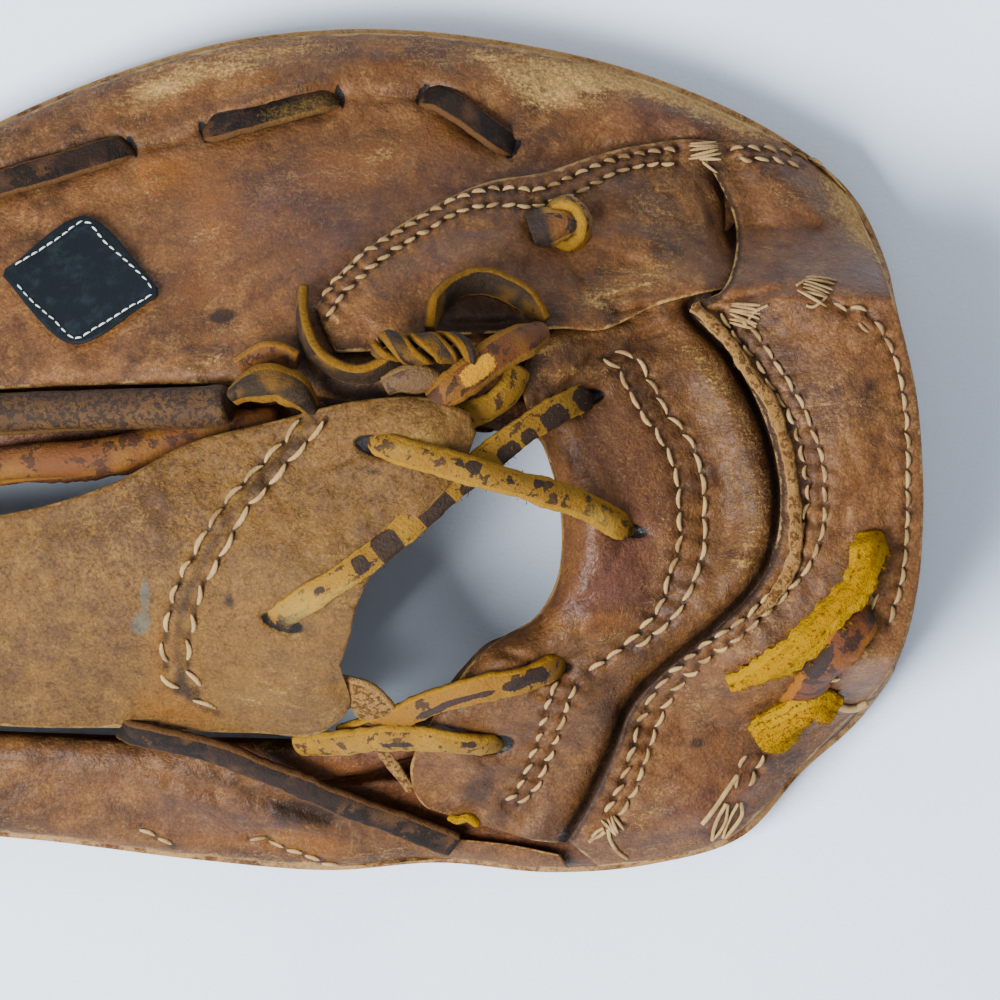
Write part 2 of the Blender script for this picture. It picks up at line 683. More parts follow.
def tree_of(*pieces):
    """Ray caster over finished pieces, in millimetres."""
    verts, faces = [], []
    for piece in pieces:
        base = len(verts)
        verts += [v.co / MM for v in piece.data.vertices]
        faces += [[base + i for i in polygon.vertices] for polygon in piece.data.polygons]
    return BVHTree.FromPolygons(verts, faces)


# Materials

class Value:
    """A number or a colour in a material, which takes part in plain arithmetic."""

    def __init__(self, tree, socket):
        self.tree, self.socket = tree, socket

    def _maths(self, kind, *others):
        node = self.tree.nodes.new("ShaderNodeMath")
        node.operation = kind
        for place, item in zip(node.inputs, (self, *others)):
            if isinstance(item, Value):
                self.tree.links.new(item.socket, place)
            else:
                place.default_value = item
        return Value(self.tree, node.outputs[0])

    def __add__(self, other):
        return self._maths("ADD", other)

    def __mul__(self, other):
        return self._maths("MULTIPLY", other)

    def __sub__(self, other):
        return self._maths("SUBTRACT", other)

    def __rsub__(self, other):
        return (self * -1) + other

    __radd__ = __add__

    def clear(self):
        return self._maths("MAXIMUM", 0)._maths("MINIMUM", 1)

    def steps(self, low, high):
        """Rises from 0 at low to 1 at high."""
        share = ((self - low) * (1 / (high - low))).clear()
        return share * share * (3 - share * 2)


class Paint:
    """A material under way."""

    def __init__(self, name):
        self.material = bpy.data.materials.new(name)
        self.material.use_nodes = True
        self.tree = self.material.node_tree
        self.surface = self.tree.nodes["Principled BSDF"]
        self.place = self.node("ShaderNodeTexCoord", {}, output="Object")

    def node(self, kind, settings, output=0, **sockets):
        made = self.tree.nodes.new(kind)
        for key, value in settings.items():
            setattr(made, key, value)
        for key, value in sockets.items():
            self.set(made.inputs[key.replace("_", " ")], value)
        return Value(self.tree, made.outputs[output])

    def set(self, socket, value):
        if isinstance(value, Value):
            self.tree.links.new(value.socket, socket)
        else:
            socket.default_value = (*value, 1) if socket.type == "RGBA" else value

    def noise(self, size, detail=3.0, roughness=0.55, distortion=0.0, place=None):
        """Noise with lumps of the given size in millimetres."""
        return self.node(
            "ShaderNodeTexNoise", {}, Scale=1 / (size * MM), Detail=detail, Roughness=roughness,
            Distortion=distortion, Vector=place or self.place,
        )

    def cells(self, size):
        return self.node(
            "ShaderNodeTexVoronoi", {"feature": "F1"}, output="Distance", Scale=1 / (size * MM), Vector=self.place
        )

    def stretched(self, x, y, z, turn=0.0):
        """Places squeezed so that noise runs in streaks."""
        return self.node(
            "ShaderNodeMapping", {}, Vector=self.place, Scale=(x, y, z), Rotation=(0, 0, math.radians(turn))
        )

    def attributes(self, *names):
        return [self.node("ShaderNodeAttribute", {"attribute_name": name}, output="Fac") for name in names]

    def blend(self, first, second, share):
        """Mixes two colours."""
        made = self.tree.nodes.new("ShaderNodeMix")
        made.data_type = "RGBA"
        for place, value in ((0, share), (6, first), (7, second)):
            self.set(made.inputs[place], value)
        return Value(self.tree, made.outputs[2])

    def finish(self, colour, roughness, height, strength, reach, specular):
        """Sets the surface. The bump stands up to reach millimetres."""
        bump = self.node("ShaderNodeBump", {}, Height=height, Strength=strength, Distance=reach * MM)
        self.set(self.surface.inputs["Base Color"], colour)
        self.set(self.surface.inputs["Roughness"], roughness)
        self.set(self.surface.inputs["Normal"], bump)
        self.set(self.surface.inputs["Specular IOR Level"], specular)
        return self.material


def rgb(red, green, blue):
    """A colour from its 0 to 255 values."""
    return tuple((c / 255 / 12.92 if c <= 10 else ((c / 255 + 0.055) / 1.055) ** 2.4) for c in (red, green, blue))


def dim(colour, share):
    return tuple(c * share for c in colour)


def leather(name, *colours, speckle=0.0, gloss=0.57):
    """Worn leather: mottled, creased, rubbed light where the wear attribute says so. Its colours are the main
    one, a deep one, a light one, an orange one and that of the rubbed places."""
    main, deep, light, orange, rub = (rgb(*colour) for colour in colours)
    p = Paint(name)
    mottle = p.noise(26, 3, 0.62)
    blot = p.noise(6, 4, 0.7)
    dust = p.noise(0.9, 2, 0.7)
    streaks = p.noise(2.6, 3, 0.75, place=p.stretched(0.3, 1.4, 1, 28))
    cracks = p.noise(4.6, 4, 0.74, 0.5)
    pits = p.cells(0.8)
    wear, dark, warm, sheen, cut, hole, dye, seam = p.attributes(
        "wear", "dark", "warm", "sheen", "cut", "hole", "dye", "seam"
    )

    calm = 1 - 0.6 * speckle
    colour = p.blend(main, deep, (mottle.steps(0.42, 0.66) * 0.75 + blot.steps(0.48, 0.66) * 0.5).clear() * calm)
    colour = p.blend(colour, light, (blot + (dust - 0.5) * 0.6).steps(0.47, 0.28) * 0.65)
    colour = p.blend(colour, dim(deep, 0.7), (dust + (blot - 0.5) * 0.5).steps(0.53, 0.76) * 0.42)
    colour = p.blend(colour, orange, (warm + mottle * 0.8 + blot * 0.5 - 0.85).steps(0.15, 0.65) * 0.75)
    colour = p.blend(colour, rgb(88, 52, 45), sheen * (0.35 + blot * 0.5))
    rubbed = (wear * 0.8 + streaks * 1.1 + blot * 0.9 + dust * 0.8 - 1.8).steps(0.0, 0.45)
    colour = p.blend(colour, rub, rubbed * (dust * 1.5 - 0.1).clear())
    scratches = p.noise(1.3, 2, 0.6, place=p.stretched(0.12, 1.6, 1, 24)).steps(0.58, 0.66)
    colour = p.blend(colour, rub, scratches * (mottle + wear * 0.3).steps(0.5, 0.8) * 0.22)
    veins = cracks.steps(0.485, 0.5) * cracks.steps(0.52, 0.505)
    colour = p.blend(colour, rub, veins * (mottle + wear * 0.4).steps(0.48, 0.75) * 0.4)
    colour = p.blend(colour, deep, (cracks + mottle * 0.35).steps(0.8, 0.88) * 0.5)
    if speckle:
        grit = dust + (blot - 0.5) * 0.6 + (mottle - 0.5) * 0.4 + p.attributes("grit")[0] * 0.15
        colour = p.blend(colour, deep, grit.steps(0.56, 0.68) * speckle)
    colour = p.blend(colour, dim(deep, 0.25), (dark + (blot - 0.5) * 0.5).steps(0.35, 0.95) * 0.85)
    colour = p.blend(colour, dim(deep, 0.45), pits.steps(0.32, 0.62) * 0.25)
    colour = p.blend(colour, rub, (cut * 0.8 + (blot - 0.5) * 2.2 + (dust - 0.5) * 0.6).steps(0.5, 0.95) * 0.6)
    colour = p.blend(colour, dim(deep, 0.4), (seam + (dust - 0.5) * 0.5).steps(0.25, 0.9) * 0.75)
    colour = p.blend(colour, rgb(66, 72, 66), (dye + (blot - 0.5) * 0.6).steps(0.4, 0.8) * 0.6)
    colour = p.blend(colour, rgb(16, 10, 8), hole.steps(0.45, 0.6))

    roughness = (gloss + rubbed * 0.28 + dust * 0.14 + cut * 0.3 - sheen * 0.14 - 0.05).clear()
    height = pits * -0.06 + cracks * 0.6 + dust * 0.14 + blot * 0.85 - veins * 0.1 + cut * dust * 0.3
    return p.finish(colour, roughness, height, 0.9, 1.0, 0.24)


def rawhide(name, *colours, size, share, fuzz=0.4, gloss=0.55, end_dark=0.0):
    """A lace with grain on its two faces, suede on its cut sides and dark blotches of a given size and share
    along it. Its colours are those of the grain, the blotches and the suede."""
    grain, blotch, suede = (rgb(*colour) for colour in colours)
    p = Paint(name)
    run, across, face, dark, wear, warm = p.attributes("run", "a", "b", "dark", "wear", "warm")
    spot = p.noise(size, 3, 0.6, 0.3)
    fine = p.noise(0.8, 3, 0.75)
    side = (across * across).steps(0.62, 0.94)
    colour = p.blend(grain, suede, p.noise(9, 2, 0.6).steps(0.45, 0.65) * 0.5)
    colour = p.blend(colour, blotch, (spot + (fine - 0.5) * 0.2).steps(1 - share, 1.035 - share) * 0.9)
    colour = p.blend(colour, suede, (side + (fine - 0.5) * 0.5).steps(0.4, 0.75) * 0.85)
    colour = p.blend(colour, dim(grain, 0.3), (face * -1).steps(0.2, 0.9) * 0.5)
    colour = p.blend(colour, dim(suede, 0.4), fine.steps(0.52, 0.72) * 0.7)
    stain = dark + (fine - 0.5) * 0.35 + (spot - 0.5) * 0.9
    colour = p.blend(colour, rgb(32, 20, 16), stain.steps(0.42, 0.52) * 0.94)
    colour = p.blend(colour, rgb(142, 112, 42), (wear + (fine - 0.5)).steps(0.3, 0.9) * 0.6)
    colour = p.blend(colour, rgb(176, 122, 14), (warm + (fine - 0.5)).steps(0.35, 0.6) * 0.9)
    if end_dark:
        colour = p.blend(colour, blotch, run.steps(end_dark - 1, end_dark + 1) * 0.9)
    roughness = (gloss + side * 0.3 + fine * 0.2).clear()
    height = fine * (0.3 + fuzz * 0.7) + spot * 0.5
    return p.finish(colour, roughness, height, 0.9, 0.8, max(0.05, 0.3 - fuzz * 0.2))


def thread(name, colour, dirt):
    p = Paint(name)
    fine = p.noise(0.5, 3, 0.7)
    shade = p.blend(rgb(*colour), rgb(*dirt), p.noise(7, 4, 0.6).steps(0.42, 0.68) * 0.75)
    strands = p.node("ShaderNodeTexWave", {"wave_type": "BANDS"}, Scale=420.0, Distortion=2.0, Vector=p.place)
    return p.finish(shade, 0.75 + fine * 0.2, fine + strands * 0.4, 0.5, 0.2, 0.25)


def black_leather(name):
    p = Paint(name)
    grain = p.cells(0.6)
    dust = p.noise(1.2, 4, 0.7)
    shade = p.blend(rgb(9, 15, 20), rgb(32, 42, 48), (p.noise(4, 4, 0.6) + dust * 0.4).steps(0.68, 0.95) * 0.5)
    return p.finish(shade, 0.5 + dust * 0.3, grain * -0.5 + dust * 0.4, 0.5, 0.3, 0.15)


def cloth(name):
    """Pale woven ground."""
    p = Paint(name)
    weave = p.noise(1.1, 3, 0.6, place=p.stretched(1, 1.6, 1))
    shade = p.blend(rgb(230, 241, 255), rgb(222, 234, 252), p.noise(120, 3, 0.5).steps(0.35, 0.7))
    shade = p.blend(shade, rgb(214, 222, 240), weave.steps(0.5, 0.75) * 0.35)
    return p.finish(shade, 0.9, weave, 0.25, 0.5, 0.2)


BROWN = leather("brown_leather", (105, 66, 31), (62, 36, 19), (132, 92, 48), (124, 72, 22), (180, 142, 84))
PAD = leather(
    "pad_leather", (93, 58, 25), (57, 33, 17), (118, 79, 36), (116, 67, 17), (168, 128, 66), gloss=0.52
)
PALM = leather("palm_leather", (84, 46, 20), (46, 24, 12), (110, 66, 32), (114, 62, 18), (176, 134, 82))
TAN = leather(
    "tan_leather", (98, 66, 21), (60, 36, 15), (115, 81, 29), (110, 68, 15), (150, 114, 56), speckle=0.64,
    gloss=0.66,
)
AMBER = rawhide("amber_rawhide", (114, 74, 5), (38, 21, 12), (132, 92, 10), size=5.5, share=0.44)
OCHRE = rawhide("ochre_rawhide", (116, 80, 9), (44, 25, 13), (136, 98, 20), size=3.0, share=0.45)
DARK_LACE = rawhide(
    "dark_lace", (34, 21, 14), (18, 12, 9), (84, 56, 30), size=7, share=0.5, fuzz=0.8, gloss=0.6
)
YELLOW = rawhide(
    "yellow_rawhide", (142, 100, 1), (96, 58, 2), (154, 114, 2), size=1.2, share=0.42, fuzz=1.3, gloss=0.95
)
STRAP = rawhide("strap_rawhide", (84, 42, 14), (40, 22, 14), (128, 76, 8), size=5, share=0.5)
EDGE_LACE = rawhide("edge_lace", (40, 29, 20), (22, 16, 14), (112, 76, 14), size=6, share=0.4, fuzz=0.8)
RED_LACE = rawhide("red_lace", (88, 48, 16), (50, 26, 13), (114, 76, 16), size=4, share=0.44)
GREY_LACE = rawhide("grey_lace", (84, 60, 36), (52, 35, 23), (112, 84, 46), size=4, share=0.44)
SPECKLED = rawhide("speckled_rawhide", (60, 37, 13), (31, 18, 10), (80, 53, 17), size=1.6, share=0.5)
RIDGE = rawhide(
    "ridge_suede", (124, 90, 50), (78, 50, 26), (144, 110, 66), size=1.4, share=0.5, fuzz=1.3, gloss=0.9
)
STITCH = thread("stitch_thread", (158, 128, 84), (100, 70, 38))
WHITE_STITCH = thread("white_thread", (206, 206, 200), (150, 150, 146))
BLACK = black_leather("black_leather")
CLOTH = cloth("pale_cloth")


# Marks on each piece by their kind: along, across, long reach, short reach, turn, strength
MARKS = {
    "finger_back": {
        "wear": [
            (279, 425, 13, 4.5, -8, 1), (424, 369, 18, 8, 15, 0.25), (541, 253, 9, 4, 10, 0.5),
            (441, 340, 12, 4, 10, 0.2), (296, 457, 22, 3.5, -9, 0.75), (526, 455, 20, 4, 12, 0.75),
            (582, 426, 10, 4, 25, 0.7), (454, 481, 20, 2, 2, 0.35), (213, 435, 18, 3, -14, 0.7),
            (153, 403, 14, 3.5, -26, 0.9), (514, 144, 14, 5, 10, 0.35), (405, 340, 16, 6, 15, 0.3),
            (582, 316, 8, 9, 0, 0.45), (559, 90, 12, 4, 0, 0.4),
        ],
        "warm": [
            (533, 280, 9, 12, 20, 0.8), (582, 331, 7, 6, 0, 0.8), (428, 340, 12, 5, 15, 0.7),
            (507, 393, 18, 8, 15, 0.5), (424, 340, 20, 8, 10, 0.5), (356, 381, 16, 7, -30, 0.45),
            (243, 381, 16, 5, -5, 0.55), (552, 179, 14, 9, 0, 0.5), (401, 462, 20, 5, 0, 0.4),
        ],
        "dark": [
            (528, 159, 2.6, 1.2, 15, 0.8), (525, 160, 3.4, 2, 15, 0.95), (528, 229, 2.6, 1.5, 0, 0.8),
            (475, 118, 4, 3, 40, 0.7), (582, 189, 3, 2.5, 0, 0.5), (430, 75, 11, 3.2, -12, 1.3),
            (386, 101, 9, 2.2, 0, 1.1), (462, 126, 2, 7, 0, 0.9),
        ],
        "sheen": [
            (488, 292, 17, 7, 25, 0.6), (450, 233, 9, 13, -30, 0.55), (371, 316, 15, 4, 25, 0.5),
            (273, 346, 14, 3, 15, 0.5), (198, 399, 14, 4, -15, 0.5),
        ],
    },
    "crotch_pad": {
        "wear": [
            (234, -17, 8, 14, 0, 0.4), (147, 55, 12, 6, -55, 0.42), (129, -58, 4.5, 13, 0, 0.5),
            (136, -135, 7, 6, 60, 0.42), (168, 108, 10, 4, -40, 0.42), (260, 94, 8, 3, 10, 0.6),
            (197, -112, 3, 12, -10, 0.5), (245, -224, 6, 2, 15, 0.5), (319, -242, 12, 3, 10, 0.35),
            (364, -397, 6, 8, 0, 0.2), (243, -367, 6, 12, -25, 0.2), (285, 122, 6, 2, 10, 0.9),
        ],
        "dark": [
            (330, -391, 12, 10, 0, 0.5), (246, -208, 4, 2.4, 20, 0.7), (175, -129, 3, 8, -15, 0.4),
            (282, -265, 5, 3, 0, 0.8), (334, -414, 6, 4, 0, 0.3), (279, 94, 3, 6, -20, 0.5),
        ],
        "sheen": [
            (227, -135, 9, 8, 0, 1), (249, -177, 8, 5, 20, 0.7), (242, -17, 8, 14, 0, 0.6),
            (206, -58, 6, 14, 0, 0.5),
        ],
        "warm": [
            (243, -203, 9, 4, 15, 0.8), (262, -106, 4, 10, 0, 0.4), (168, -177, 12, 6, 50, 0.5),
            (273, -331, 10, 12, -20, 0.4),
        ],
    },
    "thumb_back": {
        "dark": [
            (544, -429, 36, 9, -5, 0.5), (465, -432, 8, 2.6, -12, 0.9), (443, -414, 5, 3, -15, 0.6),
            (526, -391, 10, 1.8, -18, 0.5),
        ],
        "wear": [(563, -409, 14, 3, -12, 0.4), (477, -456, 10, 3, -10, 0.3), (405, -476, 8, 2, 0, 0.3)],
        "warm": [(582, -381, 12, 5, -10, 0.6), (462, -471, 14, 4, -8, 0.8), (544, -464, 12, 3, 0, 0.6)],
        "sheen": [(533, -432, 14, 5, -5, 0.4)],
    },
    "wrist_band": {
        "dark": [
            (164, -373, 16, 12, 40, 0.35), (170, -347, 1.6, 1.1, 0, 1), (164, 179, 3, 2, 0, 0.7),
            (93, -177, 8, 4, 50, 0.6),
        ],
        "wear": [
            (96, 298, 9, 7, 0, 0.4), (50, 280, 5, 11, 25, 1), (119, 239, 7, 6, 0, 0.4),
            (47, 13, 8, 9, 0, 0.3), (168, -296, 11, 5, 45, 0.4), (100, -302, 8, 5, 40, 0.4),
            (213, -429, 9, 4, 10, 0.5), (123, -203, 10, 3, 45, 0.5), (46, -242, 6, 5, 45, 0.7),
        ],
        "warm": [
            (55, 144, 12, 10, 0, 0.5), (51, -23, 9, 14, 0, 0.55), (93, -224, 12, 8, 45, 0.5),
            (160, -355, 12, 8, 40, 0.5),
        ],
        "sheen": [(100, 251, 9, 12, 0, 0.45), (168, -414, 12, 8, 30, 0.45), (41, 203, 6, 7, 0, 0.4)],
    },
    "rim_lace": {
        "wear": [(469, 407, 12, 3, 15, 0.5)],
    },
    "palm": {
        "wear": [
            (544, 476, 34, 8, 12, 0.9), (409, 495, 30, 7, 0, 0.8), (273, 470, 34, 7, -12, 0.9),
            (153, 405, 22, 7, -30, 0.8), (495, -346, 8, 2, -10, 0.8),
        ],
        "warm": [(447, -373, 14, 6, -20, 0.7), (379, -414, 8, 8, 0, 0.5)],
        "dark": [(469, -355, 10, 2, -15, 0.8), (394, -403, 4, 8, 0, 0.6)],
    },
    "index_panel": {
        "wear": [
            (341, 239, 10, 5, 30, 0.4), (192, 280, 9, 8, -30, 0.55), (213, 209, 11, 3.5, 5, 0.7),
            (243, 179, 9, 3, 10, 0.65), (443, 158, 3, 5, 20, 0.6),
        ],
        "warm": [(394, 191, 10, 6, 35, 0.5), (315, 251, 10, 5, 20, 0.5), (228, 257, 12, 6, 0, 0.45)],
        "sheen": [(292, 209, 8, 5, 0, 0.5), (364, 213, 8, 5, 30, 0.4)],
        "dark": [
            (341, 158, 8, 3.5, 0, 0.7), (276, 158, 6, 2.5, 0, 0.6), (164, 191, 3, 3, 0, 0.6),
            (146, 272, 1.7, 8, 8, 1.3), (156, 319, 1.2, 5, 30, 1.1), (453, 144, 1.6, 6, 15, 1.1),
            (430, 110, 7, 1.6, -15, 1.2), (334, 170, 9.5, 4.2, 0, 1.4), (319, 144, 9, 2.2, 0, 1.2),
            (364, 132, 5, 2.4, 0, 0.9),
        ],
    },
    "web": {
        "wear": [
            (544, -129, 16, 14, 0, 0.3), (383, 31, 9, 8, 0, 0.55), (447, -129, 20, 9, -60, 0.6),
            (492, -284, 15, 8, 0, 0.6), (364, -5, 3, 8, 30, 0.9),
        ],
        "dark": [
            (412, -26, 2.2, 1.2, 0, 0.9), (520, -177, 1.6, 2.6, 20, 0.9), (373, -72, 3, 9, 35, 0.5),
            (567, -284, 4, 3, 0, 0.5), (345, 25, 2.5, 5, 0, 0.5),
        ],
        "grit": [
            (582, -82, 14, 16, 0, 1), (499, -23, 14, 8, 40, 0.7), (379, 49, 12, 4, -10, 0.6),
            (447, -177, 14, 10, 0, -0.9), (492, -284, 16, 8, 0, -1),
        ],
        "dye": [(584, -167, 1.3, 4.5, 0, 1), (587, -205, 2.6, 2.8, 0, 1.2)],
        "warm": [
            (575, -224, 6, 16, 0, 0.7), (533, -177, 4, 14, -30, 0.5), (552, -310, 14, 4, -10, 0.8),
            (507, -58, 14, 7, 55, 0.35),
        ],
    },
    "cross_lace": {
        "warm": [(335, 94, 4.5, 2.2, 38, 1.1)],
    },
    "corner_lace": {
        "wear": [(466, 179, 1.5, 4, 0, 0.4)],
    },
    "web_lace_lower": {
        "dark": [
            (466, -198, 1.6, 2, 30, 0.9), (422, -134, 2, 2.2, 35, 1), (402, -112, 3.2, 3.4, 35, 1.2),
            (372, -76, 2.1, 3, 40, 1.1), (358, -64, 2.1, 2.8, 40, 1.1), (341, -45, 2.4, 1.8, 40, 1),
            (310, -5, 2.8, 2.8, 35, 1.2), (295, 13, 1.9, 2.6, 35, 1.1), (277, 38, 3.2, 2.6, 35, 1.2),
            (255, 61, 2.6, 3.4, 35, 0.9), (478, -203, 2.6, 1.4, 20, 1), (453, -165, 1.6, 1, 30, 0.8),
        ],
        "wear": [(469, -184, 6, 4, 30, 0.7), (443, -172, 8, 1.6, 32, 0.8), (398, -137, 5, 1.2, 38, 0.8)],
    },
    "web_lace_upper": {
        "dark": [
            (338, -20, 1.9, 1.5, -20, 1), (348, -15, 1.3, 1.1, -10, 0.6), (309, -36, 1.8, 1.2, -10, 0.5),
            (290, -39, 1.2, 1, -15, 0.9),
        ],
        "wear": [(243, -77, 5, 2.4, -28, 0.7), (390, 1, 4, 1.4, -10, 0.6)],
    },
    "thumb_side_lace_upper": {
        "dark": [
            (291, -265, 2.6, 1.8, 10, 1), (307, -277, 2.8, 1.2, 10, 0.9), (341, -292, 7, 0.8, 15, 0.9),
            (371, -310, 5, 1, 20, 0.7),
        ],
    },
    "thumb_side_lace_lower": {
        "dark": [(341, -348, 2, 1, 0, 0.7), (394, -349, 5, 0.7, 0, 0.6)],
    },
    "heel_lace_short": {
        "dark": [(81, -248, 5, 3.5, 55, 0.75)],
    },
    "heel_lace_long": {
        "dark": [(96, -165, 2, 3, 50, 0.5)],
    },
}

# Swells and dents of each piece: along, across, long reach, short reach, turn, height
SWELLS = {
    "finger_back": [
        (498, 418, 15, 2, 16, 2), (435, 245, 16, 5, 42, 1.3), (375, 340, 14, 6, 20, 0.9),
        (559, 239, 12, 10, 0, -1.2), (273, 405, 10, 5, -10, -0.9), (168, 393, 10, 4, -25, 0.9),
        (469, 450, 26, 6, 5, 1.1), (334, 429, 12, 5, -20, 0.8), (507, 268, 22, 13, 20, 1.6),
        (405, 280, 20, 7, 38, -1.3), (288, 334, 16, 4, 18, -1.1), (228, 399, 22, 6, -8, 1.2),
        (559, 310, 16, 6, 20, -0.9), (409, 381, 20, 6, 8, -1), (582, 144, 10, 16, 0, 1),
        (537, 144, 5, 14, 15, -0.9),
    ],
    "index_panel": [
        (379, 179, 5, 5, 0, -0.9), (228, 251, 8, 3, -10, 1), (341, 229, 17, 6, 25, 2.2),
        (405, 179, 8, 7, 30, 1.4), (276, 265, 5.5, 5.5, 0, -2.2), (202, 265, 9, 9, 0, 2),
        (243, 215, 12, 3, 5, -0.9), (236, 304, 10, 4, 12, 1.2),
    ],
    "crotch_pad": [
        (206, -23, 5, 14, 10, 0.8), (175, 84, 10, 5, -35, 0.9), (243, -82, 6, 12, 0, 1.6),
        (142, 13, 6, 14, 18, 1.6), (153, -165, 12, 6, 50, 1.4), (282, -262, 7, 3.4, 15, -3.2),
        (319, -254, 8, 4, 10, 1.2), (251, -296, 7, 10, -25, 1.4), (341, -385, 8, 9, -20, 1.6),
        (253, 61, 5, 4, 0, -1.6), (224, -96, 4, 3, 0, -1.2), (273, 108, 5, 6, 0, 1.2),
        (213, 126, 12, 3, 10, -1.2), (328, -349, 4, 3, 0, -1.4),
    ],
    "wrist_band": [
        (123, -296, 8, 10, 30, 0.9), (175, -414, 10, 5, 10, 0.9), (100, 274, 9, 11, 10, 1.8),
        (55, 25, 7, 16, 0, 1.6), (59, 179, 10, 4, 0, -0.9), (157, -337, 12, 7, 45, 1.4),
        (93, -230, 10, 7, 45, -1),
    ],
    "thumb_back": [
        (567, -397, 16, 5, -12, 1.4), (484, -432, 12, 4, -16, 1.1), (522, -468, 12, 3, -5, -0.9),
    ],
    "web": [
        (390, 1, 10, 8, 30, 1.6), (477, -129, 22, 12, -55, 1.6), (498, -296, 13, 5, -5, 1),
        (571, -82, 12, 12, 0, 1.2), (428, -281, 6, 4, -30, -1.8), (404, 1, 4.5, 2.6, 0, -1.4),
        (477, -203, 5, 3, -15, -1.4),
    ],
}

# Creases of each piece: start along, start across, end along, end across, bow, depth, reach
CREASES = {
    "finger_back": [
        (445, 417, 370, 412, 2.5, 0.45, 1.2), (599, 360, 540, 379, -0.8, 0.5, 1.2),
        (445, 422, 371, 426, -1.2, 0.7, 1.1), (602, 346, 537, 386, 0.5, 0.9, 1.6),
        (315, 357, 213, 369, -2, 0.6, 1.6), (469, 334, 379, 393, 2, 0.35, 1.6),
        (552, 262, 499, 310, 2, 0.3, 1.2), (597, 108, 507, 126, 1, 0.4, 1.2),
        (514, 108, 462, 167, 1.5, 0.5, 1.4), (349, 464, 273, 452, 1, 0.3, 1.2),
    ],
    "index_panel": [
        (273, 239, 255, 173, 0.6, 0.8, 0.9), (285, 245, 311, 179, -0.8, 0.7, 1),
        (258, 245, 198, 209, 0.8, 0.5, 1), (296, 272, 356, 260, 0.8, 0.5, 1.2),
        (243, 158, 180, 179, 0.5, 0.9, 0.8), (255, 170, 206, 189, 0.8, 0.8, 0.7),
        (262, 184, 213, 198, 0.6, 0.6, 0.7), (371, 150, 285, 158, -1, 1.2, 1.4),
        (251, 245, 183, 224, 2.2, 0.5, 1), (175, 334, 157, 245, 1.5, 0.8, 1.2),
        (213, 310, 175, 280, 1.5, 0.4, 1),
    ],
    "crotch_pad": [
        (282, -262, 243, -236, 0.8, 0.9, 1.2), (282, -262, 328, -234, -0.8, 0.8, 1.2),
        (282, -266, 270, -319, 0.6, 0.6, 1), (243, 126, 273, 72, 0.8, 0.8, 1),
        (228, 134, 175, 156, -1, 0.9, 1), (251, 144, 213, 156, 0.6, 0.8, 0.8),
        (269, 13, 264, -82, -0.8, 0.5, 1), (224, -100, 243, -153, 0.6, 0.4, 0.9),
        (243, -165, 266, -177, 0.6, 0.5, 0.9), (168, -11, 138, -82, 1.5, 0.25, 1),
        (319, -379, 364, -414, 1, 0.6, 1.2), (303, -343, 273, -403, 1, 0.3, 1),
    ],
    "wrist_band": [
        (139, 239, 93, 179, 1.2, 0.6, 1.2), (168, 179, 93, 197, -0.8, 1, 1.2),
        (78, 179, 36, 132, 0.8, 0.5, 1), (115, 298, 62, 227, 2, 0.35, 1.4),
        (175, -284, 123, -331, 1, 0.35, 1), (228, -450, 168, -414, 1, 0.4, 1.2),
        (70, 37, 47, -58, 1.5, 0.3, 1.2),
    ],
    "thumb_back": [
        (597, -373, 507, -414, -1.2, 0.9, 1.4), (522, -403, 424, -456, 1.2, 0.8, 1.4),
        (507, -450, 447, -468, 0.8, 0.5, 1), (454, -486, 394, -474, 0.6, 0.4, 0.9),
    ],
    "web": [
        (413, 4, 469, -23, 0.8, 0.35, 0.8), (416, -5, 462, -52, 1, 0.25, 0.8),
        (424, -260, 469, -284, 1, 0.7, 1), (435, -224, 420, -284, 0.8, 0.7, 1),
        (447, -319, 522, -296, 1, 0.4, 1), (492, -224, 537, -272, 1.5, 0.3, 1.2),
        (371, 37, 356, -23, 1.5, 0.4, 1.2),
    ],
}

# Lace holes of each piece: along, across, long radius, short radius, turn
HOLES = {
    "web": [
        (411, 5, 5, 2.4, -12), (481, -203, 5.2, 2, -18),
    ],
    "crotch_pad": [
        (252, 63, 3.8, 1.8, 10), (221, -94, 4.2, 1.6, -10), (279, -260, 4.8, 1.6, 12),
        (322, -349, 4.6, 2.2, 10),
    ],
    "wrist_band": [
        (41, -112, 4, 2.4, 60), (46, -184, 3.6, 2.4, 60),
    ],
    "finger_back": [
        (542, 380, 1, 3, 15), (439, 422, 1, 3, 12), (377, 425, 1.2, 3, -30), (308, 360, 1.2, 3, -32),
        (712, 311, 1, 3, 25), (596, 363, 1, 3, 20),
    ],
}

# Seams pressed into each piece
PRESSED = {
    "finger_back": ["finger_upper", "finger_lower"],
    "index_panel": ["finger_upper", "finger_lower"],
    "crotch_pad": ["pad_inner", "pad_outer", "leg_inner", "leg_outer"],
    "wrist_band": [
        "band_inner", "band_outer", "top_upper", "top_lower", "heel_top", "heel_edge", "heel_low", "heel_foot"
    ],
    "web": ["web_left", "web_right"],
    "thumb_back": ["thumb_left", "thumb_right"],
}
STITCH_PITCH = 4.3
# Seams sewn closer or wider than the others
SEAM_PITCH = {
    "finger_upper": 3.4, "finger_lower": 3.4, "top_upper": 3.6, "top_lower": 3.6, "web_left": 6.4,
    "web_right": 6.4, "pad_inner": 4.9, "pad_outer": 4.9, "leg_inner": 3.8, "leg_outer": 3.8,
}


def seam_line(name, count):
    return spline(places(SEAMS[name]), np.linspace(0, 1, count))


def turned(x, y, along, across, long, short, turn, power=2):
    """Squared distance from a spot, in its own reaches. A power of 4 makes the spot a soft block."""
    cx, cy = plan(along, across)
    cos, sin = math.cos(math.radians(turn)), math.sin(math.radians(turn))
    u, v = (x - cx) * cos + (y - cy) * sin, (y - cy) * cos - (x - cx) * sin
    return (u / long) ** power + (v / short) ** power


